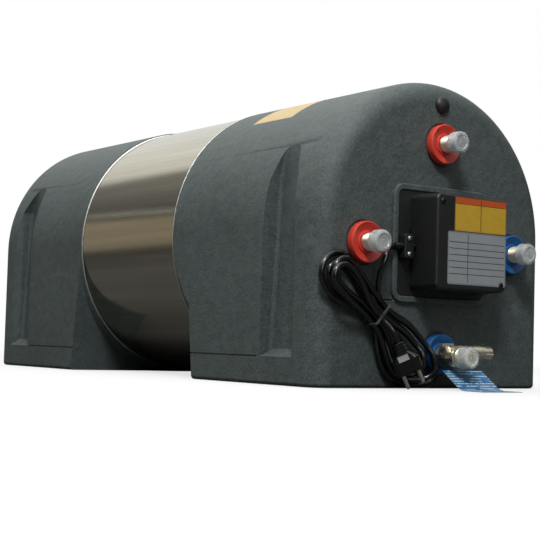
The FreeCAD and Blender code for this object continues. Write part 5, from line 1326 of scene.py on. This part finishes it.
class HEATER_OT_stickers(bpy.types.Operator):
    """Lay the blank stickers on the box cover and on the front shell"""

    bl_idname = "heater.stickers"
    bl_label = "Stickers"

    def execute(self, context):
        box = context.scene.heater_box
        right, up = (1.0, 0.0, 0.0), (0.0, 0.0, 1.0)
        notice = printed_sheet(
            "blank_notice", box.sticker_colour, srgb(70, 54, 26), (0.8,), (0.5,), tuple(box.header_colour)
        )
        place = on_panel(NOTICE_PLACE[0], STICKER_OUT, NOTICE_PLACE[1])
        sticker("cover_notice", place, right, up, NOTICE_SIZE, notice)

        plate = printed_sheet(
            "blank_plate", srgb(160, 164, 168), srgb(74, 80, 88), PLATE_ROWS, (0.34,), rough=0.32
        )
        place = on_panel(PLATE_PLACE[0], STICKER_OUT, PLATE_PLACE[1])
        sticker("cover_plate", place, right, up, PLATE_SIZE, plate, corner=PLATE_CORNER)

        patch = printed_sheet("blank_patch", srgb(196, 168, 112), srgb(120, 90, 46))
        lean, rise = math.sin(PATCH_ANGLE), math.cos(PATCH_ANGLE)
        place = Vector((PATCH_RADIUS * lean, PATCH_Y, AXIS_Z + PATCH_RADIUS * rise))
        shell = bpy.data.objects["front_shell_moulding"]
        sticker("shell_patch", place, OUTWARD, (rise, 0.0, -lean), PATCH_SIZE, patch, shell, 24)
        return {"FINISHED"}


# What the shells hide keeps its solid's mesh: the nodes by slot
INSIDE = {
    "foam": ("foam_core",),
    "tank_steel": (
        "tank_shell", "tank_front_head", "tank_rear_head", "heater_flange", "engine_coil", "dip_pipe",
        "hot_pickup",
    ),
    "gasket_rubber": ("heater_gasket",),
    "screw_steel": ("heater_bolts",),
    "element_sheath": ("heating_element", "thermowell"),
    "anode_metal": ("anode_rod",),
    "nickel_brass": ("foot_inserts",),
}


class HEATER_OT_inside(bpy.types.Operator):
    """Finish what the shells hide: tank, foam, coil, element, anode, pipes and inserts"""

    bl_idname = "heater.inside"
    bl_label = "Inside Parts"

    def execute(self, context):
        for slot, nodes in INSIDE.items():
            for node in nodes:
                piece = frame["nodes"][node]
                if not piece.material_slots:
                    piece.data.materials.append(finish(slot))
                for place in piece.material_slots:
                    place.material = finish(slot)
        return {"FINISHED"}


OPERATORS = (
    HEATER_OT_stage, HEATER_OT_cord, HEATER_OT_shells, HEATER_OT_jacket, HEATER_OT_fittings, HEATER_OT_box,
    HEATER_OT_cord_ends, HEATER_OT_valve, HEATER_OT_tag, HEATER_OT_stickers, HEATER_OT_inside,
)
SETTINGS = {
    "heater_shell": ShellSettings, "heater_jacket": JacketSettings, "heater_fittings": FittingSettings,
    "heater_box": BoxSettings, "heater_cord": CordSettings, "heater_stage": StageSettings,
}


class HEATER_PT_panel(bpy.types.Panel):
    """The heater's pieces and sizes"""

    bl_label = "Storage Water Heater"
    bl_idname = "HEATER_PT_panel"
    bl_space_type = "VIEW_3D"
    bl_region_type = "UI"
    bl_category = "Heater"

    def draw(self, context):
        for name, group in SETTINGS.items():
            box = self.layout.box()
            for key in group.__annotations__:
                box.prop(getattr(context.scene, name), key)
        for operator in OPERATORS:
            self.layout.operator(operator.bl_idname)


def register():
    for group in SETTINGS.values():
        bpy.utils.register_class(group)
    for name, group in SETTINGS.items():
        setattr(bpy.types.Scene, name, PointerProperty(type=group))
    for item in (*OPERATORS, HEATER_PT_panel):
        bpy.utils.register_class(item)


def unregister():
    for item in reversed((*OPERATORS, HEATER_PT_panel)):
        bpy.utils.unregister_class(item)
    for name in SETTINGS:
        delattr(bpy.types.Scene, name)
    for group in reversed(list(SETTINGS.values())):
        bpy.utils.unregister_class(group)


def main():
    register()
    bpy.ops.heater.stage()
    bpy.ops.heater.cord()
    bpy.ops.heater.shells()
    bpy.ops.heater.jacket()
    bpy.ops.heater.fittings()
    bpy.ops.heater.box()
    bpy.ops.heater.cord_ends()
    bpy.ops.heater.valve()
    bpy.ops.heater.tag()
    bpy.ops.heater.stickers()
    bpy.ops.heater.inside()


if __name__ == "__main__":
    main()
